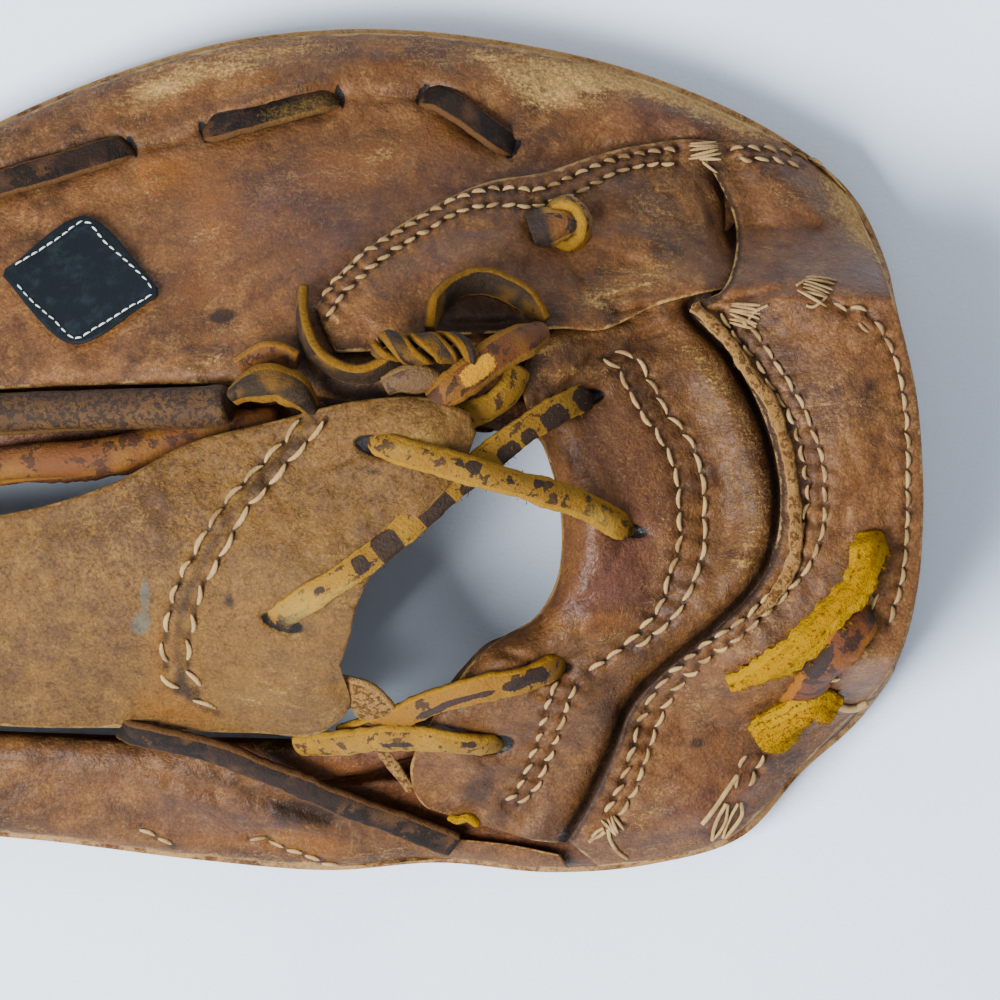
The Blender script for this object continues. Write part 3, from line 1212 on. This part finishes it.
def spots(rows, x, y, power=2):
    return sum((row[-1] * np.exp(-turned(x, y, *row[:-1], power)) for row in rows), np.zeros(len(x)))


def marks_on(piece, kinds, x, y, power=2):
    return {kind: spots(MARKS.get(piece, {}).get(kind, ()), x, y, power) for kind in kinds}


def beside(start, end, x, y):
    """Share of the way from start to end, and distance to the left of it."""
    run = end - start
    size = math.hypot(*run)
    dx, dy = x - start[0], y - start[1]
    return (dx * run[0] + dy * run[1]) / size**2, (dy * run[0] - dx * run[1]) / size


def crease_relief(piece, x, y):
    total = np.zeros(len(x))
    for along, across, end_along, end_across, bow, depth, reach in CREASES.get(piece, ()):
        t, off = beside(plan(along, across), plan(end_along, end_across), x, y)
        off = off - bow * 4 * t * (1 - t)
        fade = ease(t / 0.3) * ease((1 - t) / 0.3)
        total -= depth * fade * (bell(off, reach) - 0.4 * bell(off, 2.6 * reach))
    return total


def hole_field(piece, x, y):
    """1 in the middle of a hole, a half at its rim."""
    field = np.zeros(len(x))
    for row in HOLES.get(piece, ()):
        field = np.maximum(field, 1 - 0.5 * turned(x, y, *row))
    return field


def trough_relief(piece, x, y):
    """Beds that the rim's lace has pressed into the leather."""
    total = np.zeros(len(x))
    if piece == "finger_back":
        for start, end in zip(RIM_HOLES[::2], RIM_HOLES[1::2]):
            t, off = beside(plan(*start), plan(*end), x, y)
            ends = ease((t + 0.05) / 0.12) * ease((1.05 - t) / 0.12)
            total -= ends * (1.5 * np.exp(-((off / 3.7) ** 4)) - 0.5 * bell(off, 9))
    return total


def seam_relief(piece, x, y):
    """Threads sink into the leather, and it puffs up between them. The second number darkens their holes."""
    total, stain = np.zeros(len(x)), np.zeros(len(x))
    for name in PRESSED.get(piece, ()):
        line = seam_line(name, 60)
        best, run, start = np.full(len(x), 1e9), np.zeros(len(x)), 0.0
        for a, b in zip(line[:-1], line[1:]):
            step = b - a
            size = max(math.hypot(*step), 1e-6)
            t = np.clip(((x - a[0]) * step[0] + (y - a[1]) * step[1]) / size**2, 0, 1)
            gap = np.hypot(x - a[0] - t * step[0], y - a[1] - t * step[1])
            nearer = gap < best
            best, run = np.where(nearer, gap, best), np.where(nearer, start + t * size, run)
            start += size
        pucker = 0.5 - 0.5 * np.cos(2 * math.pi * run / SEAM_PITCH.get(name, STITCH_PITCH))
        total += (-0.5 - 0.5 * (1 - pucker)) * bell(best, 1.0) + 0.9 * bell(best, 2.6) * pucker
        stain = np.maximum(stain, bell(best, 1.0) * (0.35 + 0.65 * (1 - pucker) ** 2))
    return total, stain


BAND_EDGE = spline(places(WRIST_BAND), np.linspace(0, 1, 60))


def band_groove(piece, x, y):
    """The pad domes up and then dives under the band, whose edge curls up."""
    gap = gap_to(BAND_EDGE, x, y)
    if piece == "crotch_pad":
        return 1.6 * bell(gap - 6, 4) - 3.4 * bell(gap, 1.9)
    if piece == "wrist_band":
        return 0.8 * bell(gap, 2.5) - 0.7 * bell(gap - 5, 2.2)
    return 0 * gap


def relief(piece, x, y):
    """How far the leather stands over its plain shape."""
    lumps = 0.9 * noise(x, y, 17, 3) + 0.4 * noise(x, y, 5, 8) + 0.12 * noise(x, y, 2.2, 15, 2)
    ridged = -0.5 * (1 - np.abs(noise(x, y, 7.5, 21, 2)) * 3).clip(0, 1) + band_groove(piece, x, y)
    return (
        lumps + ridged + 1.6 * spots(SWELLS.get(piece, ()), x, y) + 1.8 * crease_relief(piece, x, y)
        + seam_relief(piece, x, y)[0] + trough_relief(piece, x, y)
        - 1.5 * ease((hole_field(piece, x, y) - 0.35) / 0.4)
    )


# Dirt in the groove between pad and band: how far it reaches and how dark it is
BAND_SHADE = {"crotch_pad": (1.9, 1.7), "wrist_band": (1.7, 1.1)}
CUT_END = plan(0, -100)[1]  # past this line, towards the thumb, the band's cut edge doesn't show pale


def leather_layers(piece, at, cut_reach):
    """The numbers that the leather's material reads."""
    x, y = at.x, at.y
    layers = marks_on(piece, ("wear", "dark", "warm", "sheen", "dye"), x, y)
    layers["wear"] = layers["wear"] + 0.25 * bell(gap_to(RIM_LINE[::4], x, y), 2.5)
    layers["cut"] = bell(at.edge, cut_reach)
    layers["hole"] = hole_field(piece, x, y)
    layers["seam"] = seam_relief(piece, x, y)[1]
    if piece in BAND_SHADE:
        gap = gap_to(BAND_EDGE, x, y)
        reach, share = BAND_SHADE[piece]
        layers["dark"] = layers["dark"] + bell(gap, reach) * share
        layers["cut"] = layers["cut"] * (1 - bell(gap, 2.5) * ease((CUT_END - y) / 12))
    if piece == "web":
        layers.update(marks_on(piece, ("grit",), x, y))
        middle = (seam_line("web_left", 20) + seam_line("web_right", 20)) / 2
        layers["dark"] = layers["dark"] + 0.72 * bell(gap_to(middle, x, y), 2.0)
    return layers


def back_surfaces(piece, level, swell=None):
    """Bottom and top of a back panel, with its relief."""

    def surfaces(x, y, station, spread):
        at = envelope(x, y)
        wall = wall_at(x, y)
        lift = level(x, at) * (wall + LAYER_GAP) + (swell(station, spread) if swell else 0)
        quiet = ease((at.rim_gap - 1) / 6)
        out = relief(piece, x, y) * (0.35 + 0.65 * quiet)
        return at.top + lift - wall + np.minimum(0, out + wall - 0.8), at.top + lift + out

    return surfaces


def palm_surfaces(x, y, station, spread):
    at = envelope(x, y)
    ceiling = at.top - wall_at(x, y) - PADDING_GAP
    rim_fill = (1 - ease((at.rim_gap - RIM_PADDING_REACH / 2) / RIM_PADDING_REACH)) * (1 - at.opened)
    bay_fill = 1 - ease((at.bay_gap - BAY_PADDING_REACH / 2) / BAY_PADDING_REACH)
    top = np.minimum(ceiling, at.bottom + PALM_PADDING + (rim_fill + bay_fill) * CROWN_HEIGHT)
    top = top + 0.5 * noise(x, y, 14, 33) * (1 - bell(at.rim_gap, 3))
    under = 0.35 * noise(x, y, 16, 41) * ease(at.bottom / 3)
    return at.bottom + under, top


def first_layer(x, at):
    return 0


def band_level(x, at):
    return mix(ease((at.rim_gap - 1) / RIM_THICKNESS * 3), 1, at.opened)


def index_level(x, at):
    return 1 - 1.5 * ease((x - plan(168, 298)[0]) / (0.03 * MITT_LENGTH))


def pad_swell(station, spread):
    over = np.sin(math.pi * np.minimum(1, spread / 0.72))
    return PAD_PUFF * over * np.sin(math.pi * np.minimum(1, station * 1.4))


def web_surfaces(x, y, station, spread):
    at = envelope(x, y)
    top = at.dome + WEB_LIFT + WEB_LAP * (1 - ease((at.along - 0.4) / 0.14))
    return top - WEB_THICKNESS, top + relief("web", x, y) * 0.9


def patch_surfaces(x, y, station, spread):
    bottom = envelope(x, y).dome + LAYER_GAP
    return bottom, bottom + PATCH_THICKNESS + 0.12 * noise(x, y, 4, 52)


COARSE = 1.0


def panel(piece, rows, level, cell, material, swell=None, **more):
    surfaces = back_surfaces(piece, level, swell)
    return leather_piece(piece, rows, surfaces, cell * COARSE, material, "brown_leather", **more)


finger_back = panel("finger_back", FINGER_BACK, first_layer, 1.0, BROWN)
index_panel = panel("index_panel", INDEX_PANEL, index_level, 0.7, BROWN)
crotch_pad = panel("crotch_pad", CROTCH_PAD, first_layer, 0.8, PAD, pad_swell, soft=2.2)
wrist_band = panel("wrist_band", WRIST_BAND, band_level, 0.9, BROWN, soft=1.8)
thumb_back = panel("thumb_back", THUMB_BACK, first_layer, 0.9, PAD)
palm = leather_piece(
    "palm", BODY, palm_surfaces, 1.7 * COARSE, PALM, "palm_leather", cut_reach=0.01, side_cuts=6, bulge=1.2,
    soft=2.5,
)
web = leather_piece("web", WEB, web_surfaces, 0.9 * COARSE, TAN, "tan_leather", soft=1.6)
patch = leather_piece("patch", PATCH, patch_surfaces, 0.8 * COARSE, BLACK, "black_patch", cut_reach=0.01)


# Laces

def route_lace(name, material, slot, seed, **more):
    """A lace that stands for the solid of its name and runs over the back by its route."""
    points = over_dome(ROUTES[name])
    rolls = [row[3] for row in ROUTES[name]] + lean_at(points)
    return lace(name, points, rolls, material, slot, [name], seed, **more)


thumb_lace = route_lace("thumb_lace", DARK_LACE, "dark_lace", 5)
thumb_line = spline(over_dome(ROUTES["thumb_lace"]), np.linspace(0, 1, 36)) * MM

for seed, (name, material, more) in enumerate((
    ("web_lace_upper", OCHRE, {"thickness": 3.0, "squareness": 0.4, "ends": (0.55, 0.9), "cup": 0.2}),
    ("web_lace_lower", OCHRE, {"ends": (1.1, 1.0)}),
    ("thumb_side_lace_upper", AMBER, {"ends": (0.7, 1.0)}),
    ("thumb_side_lace_lower", OCHRE, {"squareness": 0.4, "thickness": 3.0, "ends": (0.6, 1.0)}),
    ("corner_lace", EDGE_LACE, {"ends": (0.8, 1.0)}),
    ("cross_lace", RED_LACE, {
        "width": 8.4, "squareness": 0.4, "thickness": 3.4, "cup": 0.25, "ends": (0.8, 0.7)
    }),
    ("under_lace", OCHRE, {"squareness": 0.4, "thickness": 3.2}),
    ("fold_lace", GREY_LACE, {"width": 8.0, "squareness": 0.4, "thickness": 3.0, "ends": (0.6, 0.5)}),
    ("knot_lace", EDGE_LACE, {
        "width": 8.8, "squareness": 0.5, "thickness": 3.6, "cup": 0.3, "ends": (0.5, 0.5)
    }),
    ("knot_lace_end", RED_LACE, {"ends": (0.7, 0.7)}),
), 10):
    route_lace(name, material, "amber_lace", seed, **more)
route_lace("loop_lace", EDGE_LACE, "dark_lace", 31, ends=(0.5, 0.5))
route_lace(
    "heel_lace_long", YELLOW, "yellow_rawhide", 41, width=HEEL_LACE_WIDTH, thickness=HEEL_LACE_THICKNESS,
    squareness=0.6, wobble=1.2, ends=(1.0, 0.55), cup=0.3, rough=0.5,
)

# The short heel lace ends lower than its solid does, and its end is folded over itself
STRAP_END = 3.6
strap_rows = [*ROUTES["heel_lace_short"][:-2], (96, -300, STRAP_END, 10)]
strap = over_dome(strap_rows)
lace(
    "heel_lace_short", strap, [row[3] for row in strap_rows] + lean_at(strap), STRAP, "yellow_rawhide",
    ["heel_lace_short"], 42, width=9.4, thickness=3.0, squareness=0.4, wobble=0.8, ends=(0.7, 0.9), cup=0.3,
    rough=0.3,
)
HEEL_FOLD = [
    (73, -299, 7.4), (85, -296, 10), (98, -309, 11), (108, -328, 10.6), (118, -344, 8.6),
]
fold = over_dome(HEEL_FOLD)
lace(
    "heel_fold", fold, lean_at(fold), YELLOW, "yellow_rawhide", [], 43, width=10.6, thickness=6.4,
    squareness=0.6, wobble=1.2, ends=(0.95, 1.0), cup=0.2, rough=0.5,
)

braid = over_dome(ROUTES["braid_lace"])
for number, replaced in enumerate((["braid_lace"], [])):
    lace(
        f"braid_{number}", braid, np.zeros(len(braid)), EDGE_LACE, "amber_lace", replaced, 51 + number,
        width=6.6, thickness=2.6, squareness=0.4, cup=0.3, coil=1.5, phase=math.pi * number + 0.6,
        ends=(0.6, 0.6),
    )

strand("edge_roll", EDGE_ROLL, EDGE_ROLL_DIAMETER, SPECKLED, 61)
strand("side_strand", SIDE_STRAND, SIDE_STRAND_DIAMETER, RED_LACE, 67)

# The rim's lace by its five points at each hole, going up and then going down: run in slants, rise, lean
RIM_LACE = [
    (-1, 0, 0), (-0.25, 0.1, 0), (0, 0.5, 0.5), (0.25, 0.9, 1), (1, 1, 1),
    (-1, 1, 1), (-0.25, 0.9, 1), (0, 0.5, 0.5), (0.25, 0.1, 0), (1, 0, 0),
]
RIM_LACE_SLANT = 4.0
HOLE_GAP = 0.35
SUNK = 1.0  # how deep the rim's lace has bedded itself into the leather


def rim_lace_route():
    holes = places(RIM_HOLES)
    points, rolls = [], []
    for i, place in enumerate(holes):
        ahead = holes[min(i + 1, len(holes) - 1)] - holes[max(i - 1, 0)]
        ahead = ahead / np.linalg.norm(ahead)
        for run, rise, lean in RIM_LACE[(i % 2) * 5 : (i % 2) * 5 + 5]:
            spot = place + ahead * RIM_LACE_SLANT * run
            at = envelope(spot[:1], spot[1:])
            low = max(at.bottom[0], LACE_THICKNESS) + LACE_THICKNESS / 2 - HOLE_GAP
            high = at.top[0] + LACE_THICKNESS / 2 + HOLE_GAP - SUNK
            points.append((spot[0], spot[1], mix(low, high, rise)))
            rolls.append(lean)
    points = np.array(points)[2:-2]
    return points, lean_at(points) * np.array(rolls)[2:-2]


lace("rim_lace", *rim_lace_route(), DARK_LACE, "dark_lace", ["rim_lace"], 71)

# A tip tie by its share of the way and its height over the dome
TIP_TIE = np.array([(0, -5), (0.08, 3.4), (0.5, 5), (0.92, 3.4), (1, -5)])
for number, (along, across, end_along, end_across) in enumerate(TIP_TIES, 1):
    start, end = plan(along, across), plan(end_along, end_across)
    way = start + (end - start) * TIP_TIE[:, :1]
    heights = envelope(way[:, 0], way[:, 1]).dome + TIP_TIE[:, 1]
    name = f"tip_tie_{number}"
    lace(name, np.column_stack([way, heights]), np.zeros(5), AMBER, "amber_lace", [name], 80 + number)

# Button knot: a ring of lace on its edge with a folded stub drawn through it
KNOT = plan(269, 267)
KNOT_RADIUS = 4.9
RING_ROLL = 75.0
seat = float(envelope(KNOT[:1], KNOT[1:]).dome[0]) + LEATHER + LAYER_GAP
turns = np.radians(np.linspace(-165, 165, 12))
ring = np.column_stack([
    KNOT[0] + 0.8 * KNOT_RADIUS * np.cos(turns), KNOT[1] + KNOT_RADIUS * np.sin(turns),
    seat + 2.6 + 0.9 * np.cos(turns),
])
lace(
    "pad_knot", ring, np.full(len(ring), RING_ROLL), OCHRE, "amber_lace", ["pad_knot"], 90, width=4.8,
    thickness=2.6, rough=0.3,
)
stub = np.array([(3.0, 0.6, 1.2), (-0.5, 0.2, 3.2), (-4.0, -0.6, 4.2), (-7.8, -1.8, 4.4)]) + (*KNOT, seat)
STUB_LEATHER = rawhide(
    "stub_rawhide", (96, 58, 24), (30, 24, 24), (150, 108, 44), size=3, share=0.5, end_dark=7.8
)
lace(
    "pad_knot_stub", stub, np.zeros(len(stub)), STUB_LEATHER, "amber_lace", [], 91, width=8.4, thickness=6.0,
    squareness=0.42, wobble=0.1, ends=(0.6, 1.1), rough=0.3,
)


# Stitches

leather_tree = tree_of(finger_back, index_panel, crotch_pad, wrist_band, thumb_back, web, patch)
chance = np.random.default_rng(4)
SKY = 200  # a height above the whole mitt


def on_leather(x, y):
    """Place and normal of the leather that lies on top at a place of the plan."""
    return leather_tree.ray_cast(Vector((x, y, SKY)), Vector((0, 0, -1)))[:2]


def frame_on(x, y, ahead):
    """Place, tangent, side and normal on the leather at a place of the plan, if there is any leather."""
    place, normal = on_leather(x, y)
    if place is None:
        return None
    tangent = Vector((ahead[0], ahead[1], 0))
    tangent = (tangent - normal * tangent.dot(normal)).normalized()
    return place, tangent, normal.cross(tangent), normal


def laid(line, lift):
    """A line of the plan laid on the leather. A place beside the leather takes the place before it."""
    centres = []
    for x, y in line:
        place, normal = on_leather(x, y)
        centres.append(place + normal * lift if place else centres[-1])
    return np.array(centres)


def add_stitch(bm, spot, length, thick, bow, turn, lift=0.3):
    """One plump thread lying on the leather with both ends drawn in."""
    place, tangent, side, normal = spot
    cos, sin = math.cos(turn), math.sin(turn)
    tangent, side = tangent * cos + side * sin, side * cos - tangent * sin
    one = bmesh.new()
    bmesh.ops.create_uvsphere(one, u_segments=8, v_segments=6, radius=1)
    for vertex in one.verts:
        u, v, w = vertex.co.z, vertex.co.x, vertex.co.y
        out = bow * (1 - u * u) + v * thick
        up = lift + w * thick * 0.85 - 0.4 * u**6
        vertex.co = place + tangent * (u * length / 2) + side * out + normal * up
    gather(bm, one)


def sew(bm, seam, bow, pitch, thick):
    _, line, arc = measured(places(SEAMS[seam]), 240)
    for k in range(round(arc[-1] / pitch)):
        run = (k + 0.5) * pitch + chance.uniform(-0.04, 0.04) * pitch
        x, y = np.interp(run, arc, line[:, 0]), np.interp(run, arc, line[:, 1])
        ahead = (np.interp(run + 1, arc, line[:, 0]) - x, np.interp(run + 1, arc, line[:, 1]) - y)
        spot = frame_on(x, y, ahead)
        if spot:
            add_stitch(
                bm, spot, pitch * chance.uniform(0.86, 1.0), thick * chance.uniform(0.88, 1.12),
                bow * pitch * chance.uniform(0.7, 1.2), chance.uniform(-0.07, 0.07),
            )


# Which way the stitches of each seam bow: 1 to the left of their run
BOWS = {
    "finger_upper": 1, "finger_lower": -1, "top_upper": 1, "top_lower": -1, "pad_inner": -1, "pad_outer": 1,
    "leg_inner": -1, "leg_outer": 1, "band_inner": -1, "band_outer": 1, "heel_top": 1, "heel_top_lower": -1,
    "heel_edge": 1, "heel_low": 1, "heel_foot": 1, "heel_foot_inner": -1, "web_left": -1, "web_right": 1,
    "thumb_left": 1, "thumb_right": 1,
}
sewing = bmesh.new()
for name, side in BOWS.items():
    pitch = SEAM_PITCH.get(name, STITCH_PITCH)
    sew(sewing, name, 0.11 * side, pitch, 0.34 + 0.045 * pitch)
finish_piece("stitches", sewing, STITCH)

# Suede ridge standing on the band's inner edge
RIDGE_LINE = [
    (172, 170), (162, 153), (145, 125), (129, 89), (114, 46), (104, -1), (98, -49), (96, -94), (102, -137),
    (114, -172), (129, -198),
]
ridge = laid(places(RIDGE_LINE), 0.7)
lace(
    "band_ridge", ridge, lean_at(ridge), RIDGE, "brown_leather", [], 57, width=3.0, thickness=2.2,
    squareness=0.4, wobble=0.7, ends=(0.9, 0.3), cup=0.1, rough=0.35,
)

# Bar tacks: along, across, direction of the threads, their length, how many, how far apart
TACKS = [
    (164, 355, 8, 8.6, 7, 0.75), (135, 160, -12, 7.5, 7, 0.8), (81, 191, -28, 7.5, 7, 0.8),
    (233, -445, -60, 5.5, 4, 0.8), (41, -177, 55, 5.5, 5, 0.7),
]
TACK_THICKNESS = 0.42
tacking = bmesh.new()
for along, across, turn, length, count, apart in TACKS:
    middle = plan(along, across)
    heading = np.array([math.cos(math.radians(turn)), math.sin(math.radians(turn))])
    for k in range(count):
        off = (k - (count - 1) / 2) * apart
        spot = frame_on(middle[0] - heading[1] * off, middle[1] + heading[0] * off, heading)
        if spot:
            add_stitch(
                tacking, spot, length * chance.uniform(0.8, 1.1), TACK_THICKNESS, 0.3 * chance.uniform(-1, 1),
                chance.uniform(-0.16, 0.16), lift=0.45,
            )
finish_piece("bar_tacks", tacking, STITCH)

# White edge stitching of the patch
patch_sewing = bmesh.new()
for name in ("patch_near", "patch_far"):
    sew(patch_sewing, name, 0, 2.0, 0.22)
finish_piece("patch_stitches", patch_sewing, WHITE_STITCH)

# Loose threads: half width, then along and across of their points, lying on the leather
THREADS = [
    (0.6, [(139, -385), (147, -403), (154, -419), (160, -432), (166, -443)]),
    (0.5, [(148, -419), (154, -436), (157, -450), (158, -463)]),
    (0.4, [(147, -420), (148, -438), (152, -452), (157, -461)]),
    (0.5, [(137, -418), (136, -432), (142, -448), (149, -460)]),
    (0.4, [(139, -419), (144, -433), (148, -448), (150, -460)]),
    (0.5, [(237, -449), (235, -462), (230, -475), (222, -485)]),
    (0.5, [(239, -452), (243, -457), (248, -460), (251, -464)]),
    (0.4, [(240, -448), (245, -452), (249, -458)]),
    (0.36, [(76, 203), (88, 201), (96, 194)]),
    (0.36, [(73, 182), (84, 170), (89, 172)]),
    (0.36, [(117, 172), (126, 165), (132, 153), (126, 146)]),
]
THREAD_HALF_HEIGHT = 0.32
loose = bmesh.new()
for half_width, rows in THREADS:
    centres = laid(spline(places(rows), np.linspace(0, 1, 18)), 0.35)
    part = unit_rod(6, 24)

    def move(rod):
        centre, level, normal = route_frames(centres, rod[:, 2] + 0.5)
        return centre + level * rod[:, :1] * half_width + normal * rod[:, 1:2] * THREAD_HALF_HEIGHT

    shape(part, move)
    gather(loose, part)
finish_piece("loose_threads", loose, STITCH)


# Palm leather that turns up under both edges of the web: name, width, roll, and its points with their heights
FLAPS = [
    ("thumb_side_flap", 26, 90.0, [
        (831, -303, 15), (740, -305, 17), (635, -308, 20), (529, -310, 23), (442, -303, 25)
    ]),
    ("corner_flap", 34, 90.0, [
        (439, -336, 23), (415, -330, 23), (388, -317, 23), (364, -303, 23), (343, -292, 23)
    ]),
    ("finger_side_flap", 20, 12.0, [(876, -1, 28), (770, 4, 38), (650, 15, 47), (544, 32, 54), (447, 51, 60)]),
]
for seed, (name, width, roll, rows) in enumerate(FLAPS, 120):
    route = np.column_stack([places(rows), [row[2] for row in rows]])
    rolls = np.full(len(route), roll)
    lace(name, route, rolls, PALM, "palm_leather", [], seed, width=width, thickness=LEATHER, cup=0)

# Small bits of lace and leather: name, material, width, thickness, along, across and lift of their points
SCRAPS = [
    ("web_tongue", RIDGE, 10.5, 1.8, [(444, -281, -3), (431, -285, 1.5), (418, -295, 1.5), (407, -322, -3)]),
    ("pale_strip", RIDGE, 3.0, 1.4, [(415, -341, -6), (401, -369, -5), (385, -403, -2)]),
    ("foot_bit", YELLOW, 2.8, 1.6, [(356, -435, 0.8), (350, -439, 2), (343, -436, 2), (336, -442, 0.4)]),
    ("heel_tab", STITCH, 3.2, 0.9, [(68, -297, 2.4), (58, -306, 2.8), (49, -306, 2.8), (41, -300, 2.4)]),
]
for seed, (name, material, width, thickness, rows) in enumerate(SCRAPS, 95):
    route = over_dome(rows)
    lace(
        name, route, lean_at(route), material, "amber_lace", [], seed, width=width, thickness=thickness,
        cup=0.3, ends=(0.6, 0.8),
    )

# Fibres standing out of the rough laces: piece, material, slot, how many, their length
FUZZ = [
    ("heel_lace_long", YELLOW, "yellow_rawhide", 1800, 1.0),
    ("heel_fold", YELLOW, "yellow_rawhide", 1300, 1.0),
    ("web_lace_lower", RIDGE, "amber_lace", 260, 1.1),
    ("web_lace_upper", RIDGE, "amber_lace", 120, 0.8),
    ("band_ridge", RIDGE, "brown_leather", 160, 0.8),
]
FIBRE_ROOT = 0.15
FLATTEST_FIBRE = 0.1
for source, material, slot, count, length in FUZZ:
    mesh = bpy.data.objects[source].data
    sizes = np.array([face.area for face in mesh.polygons])
    fibres = bmesh.new()
    for index in chance.choice(len(sizes), count, p=sizes / sizes.sum()):
        face = mesh.polygons[int(index)]
        tall = length * chance.uniform(0.5, 1.4)
        heading = (face.normal + Vector(chance.uniform(-0.9, 0.9, 3))).normalized()
        if heading.dot(face.normal) < FLATTEST_FIBRE:
            heading = face.normal
        foot = Matrix.Translation(face.center / MM + heading * (tall / 2 - FIBRE_ROOT))
        turn = heading.to_track_quat("Z", "Y").to_matrix().to_4x4()
        one = bmesh.new()
        bmesh.ops.create_cone(
            one, cap_ends=True, segments=3, radius1=0.1, radius2=0.02, depth=tall, matrix=foot @ turn
        )
        gather(fibres, one)
    finish_piece(f"{source}_fibres", fibres, material)


# Floor, light and camera

FLOOR_REACH = 1.5
FLOOR_DROP = 0.0002
ground = bmesh.new()
bmesh.ops.create_grid(ground, x_segments=1, y_segments=1, size=FLOOR_REACH)
bmesh.ops.translate(ground, vec=(0, 0, -FLOOR_DROP), verts=ground.verts)
floor_mesh = bpy.data.meshes.new("floor")
ground.to_mesh(floor_mesh)
ground.free()
floor = bpy.data.objects.new("floor", floor_mesh)
bpy.context.scene.collection.objects.link(floor)
floor_mesh.materials.append(CLOTH)

LIGHT_TARGET = Vector((0, 0, 0.03))
LIGHT_COLOUR = (0.95, 0.98, 1.0)


def area_light(name, place, size, power):
    data = bpy.data.lights.new(name, "AREA")
    data.size = size
    data.energy = power
    data.color = LIGHT_COLOUR
    light = bpy.data.objects.new(name, data)
    light.location = place
    light.rotation_euler = (LIGHT_TARGET - Vector(place)).to_track_quat("-Z", "Y").to_euler()
    bpy.context.scene.collection.objects.link(light)


area_light("window", (-1.1, -0.85, 1.72), 1.1, 166)
area_light("room", (0.4, 1.2, 1.9), 1.6, 12)

world = bpy.data.worlds.new("sky")
world.use_nodes = True
sky = world.node_tree.nodes["Background"].inputs
sky["Color"].default_value = (0.84, 0.91, 1.0, 1)
sky["Strength"].default_value = 0.62
bpy.context.scene.world = world

# The photo was taken from straight above with the rows square to it
camera_data = bpy.data.cameras.new("camera")
camera_data.sensor_width = 36
camera_data.lens = 648
camera_data.clip_end = 20
camera = bpy.data.objects.new("camera", camera_data)
camera.location = (0.0536, -0.0109, 4.035)
bpy.context.scene.collection.objects.link(camera)
bpy.context.scene.camera = camera
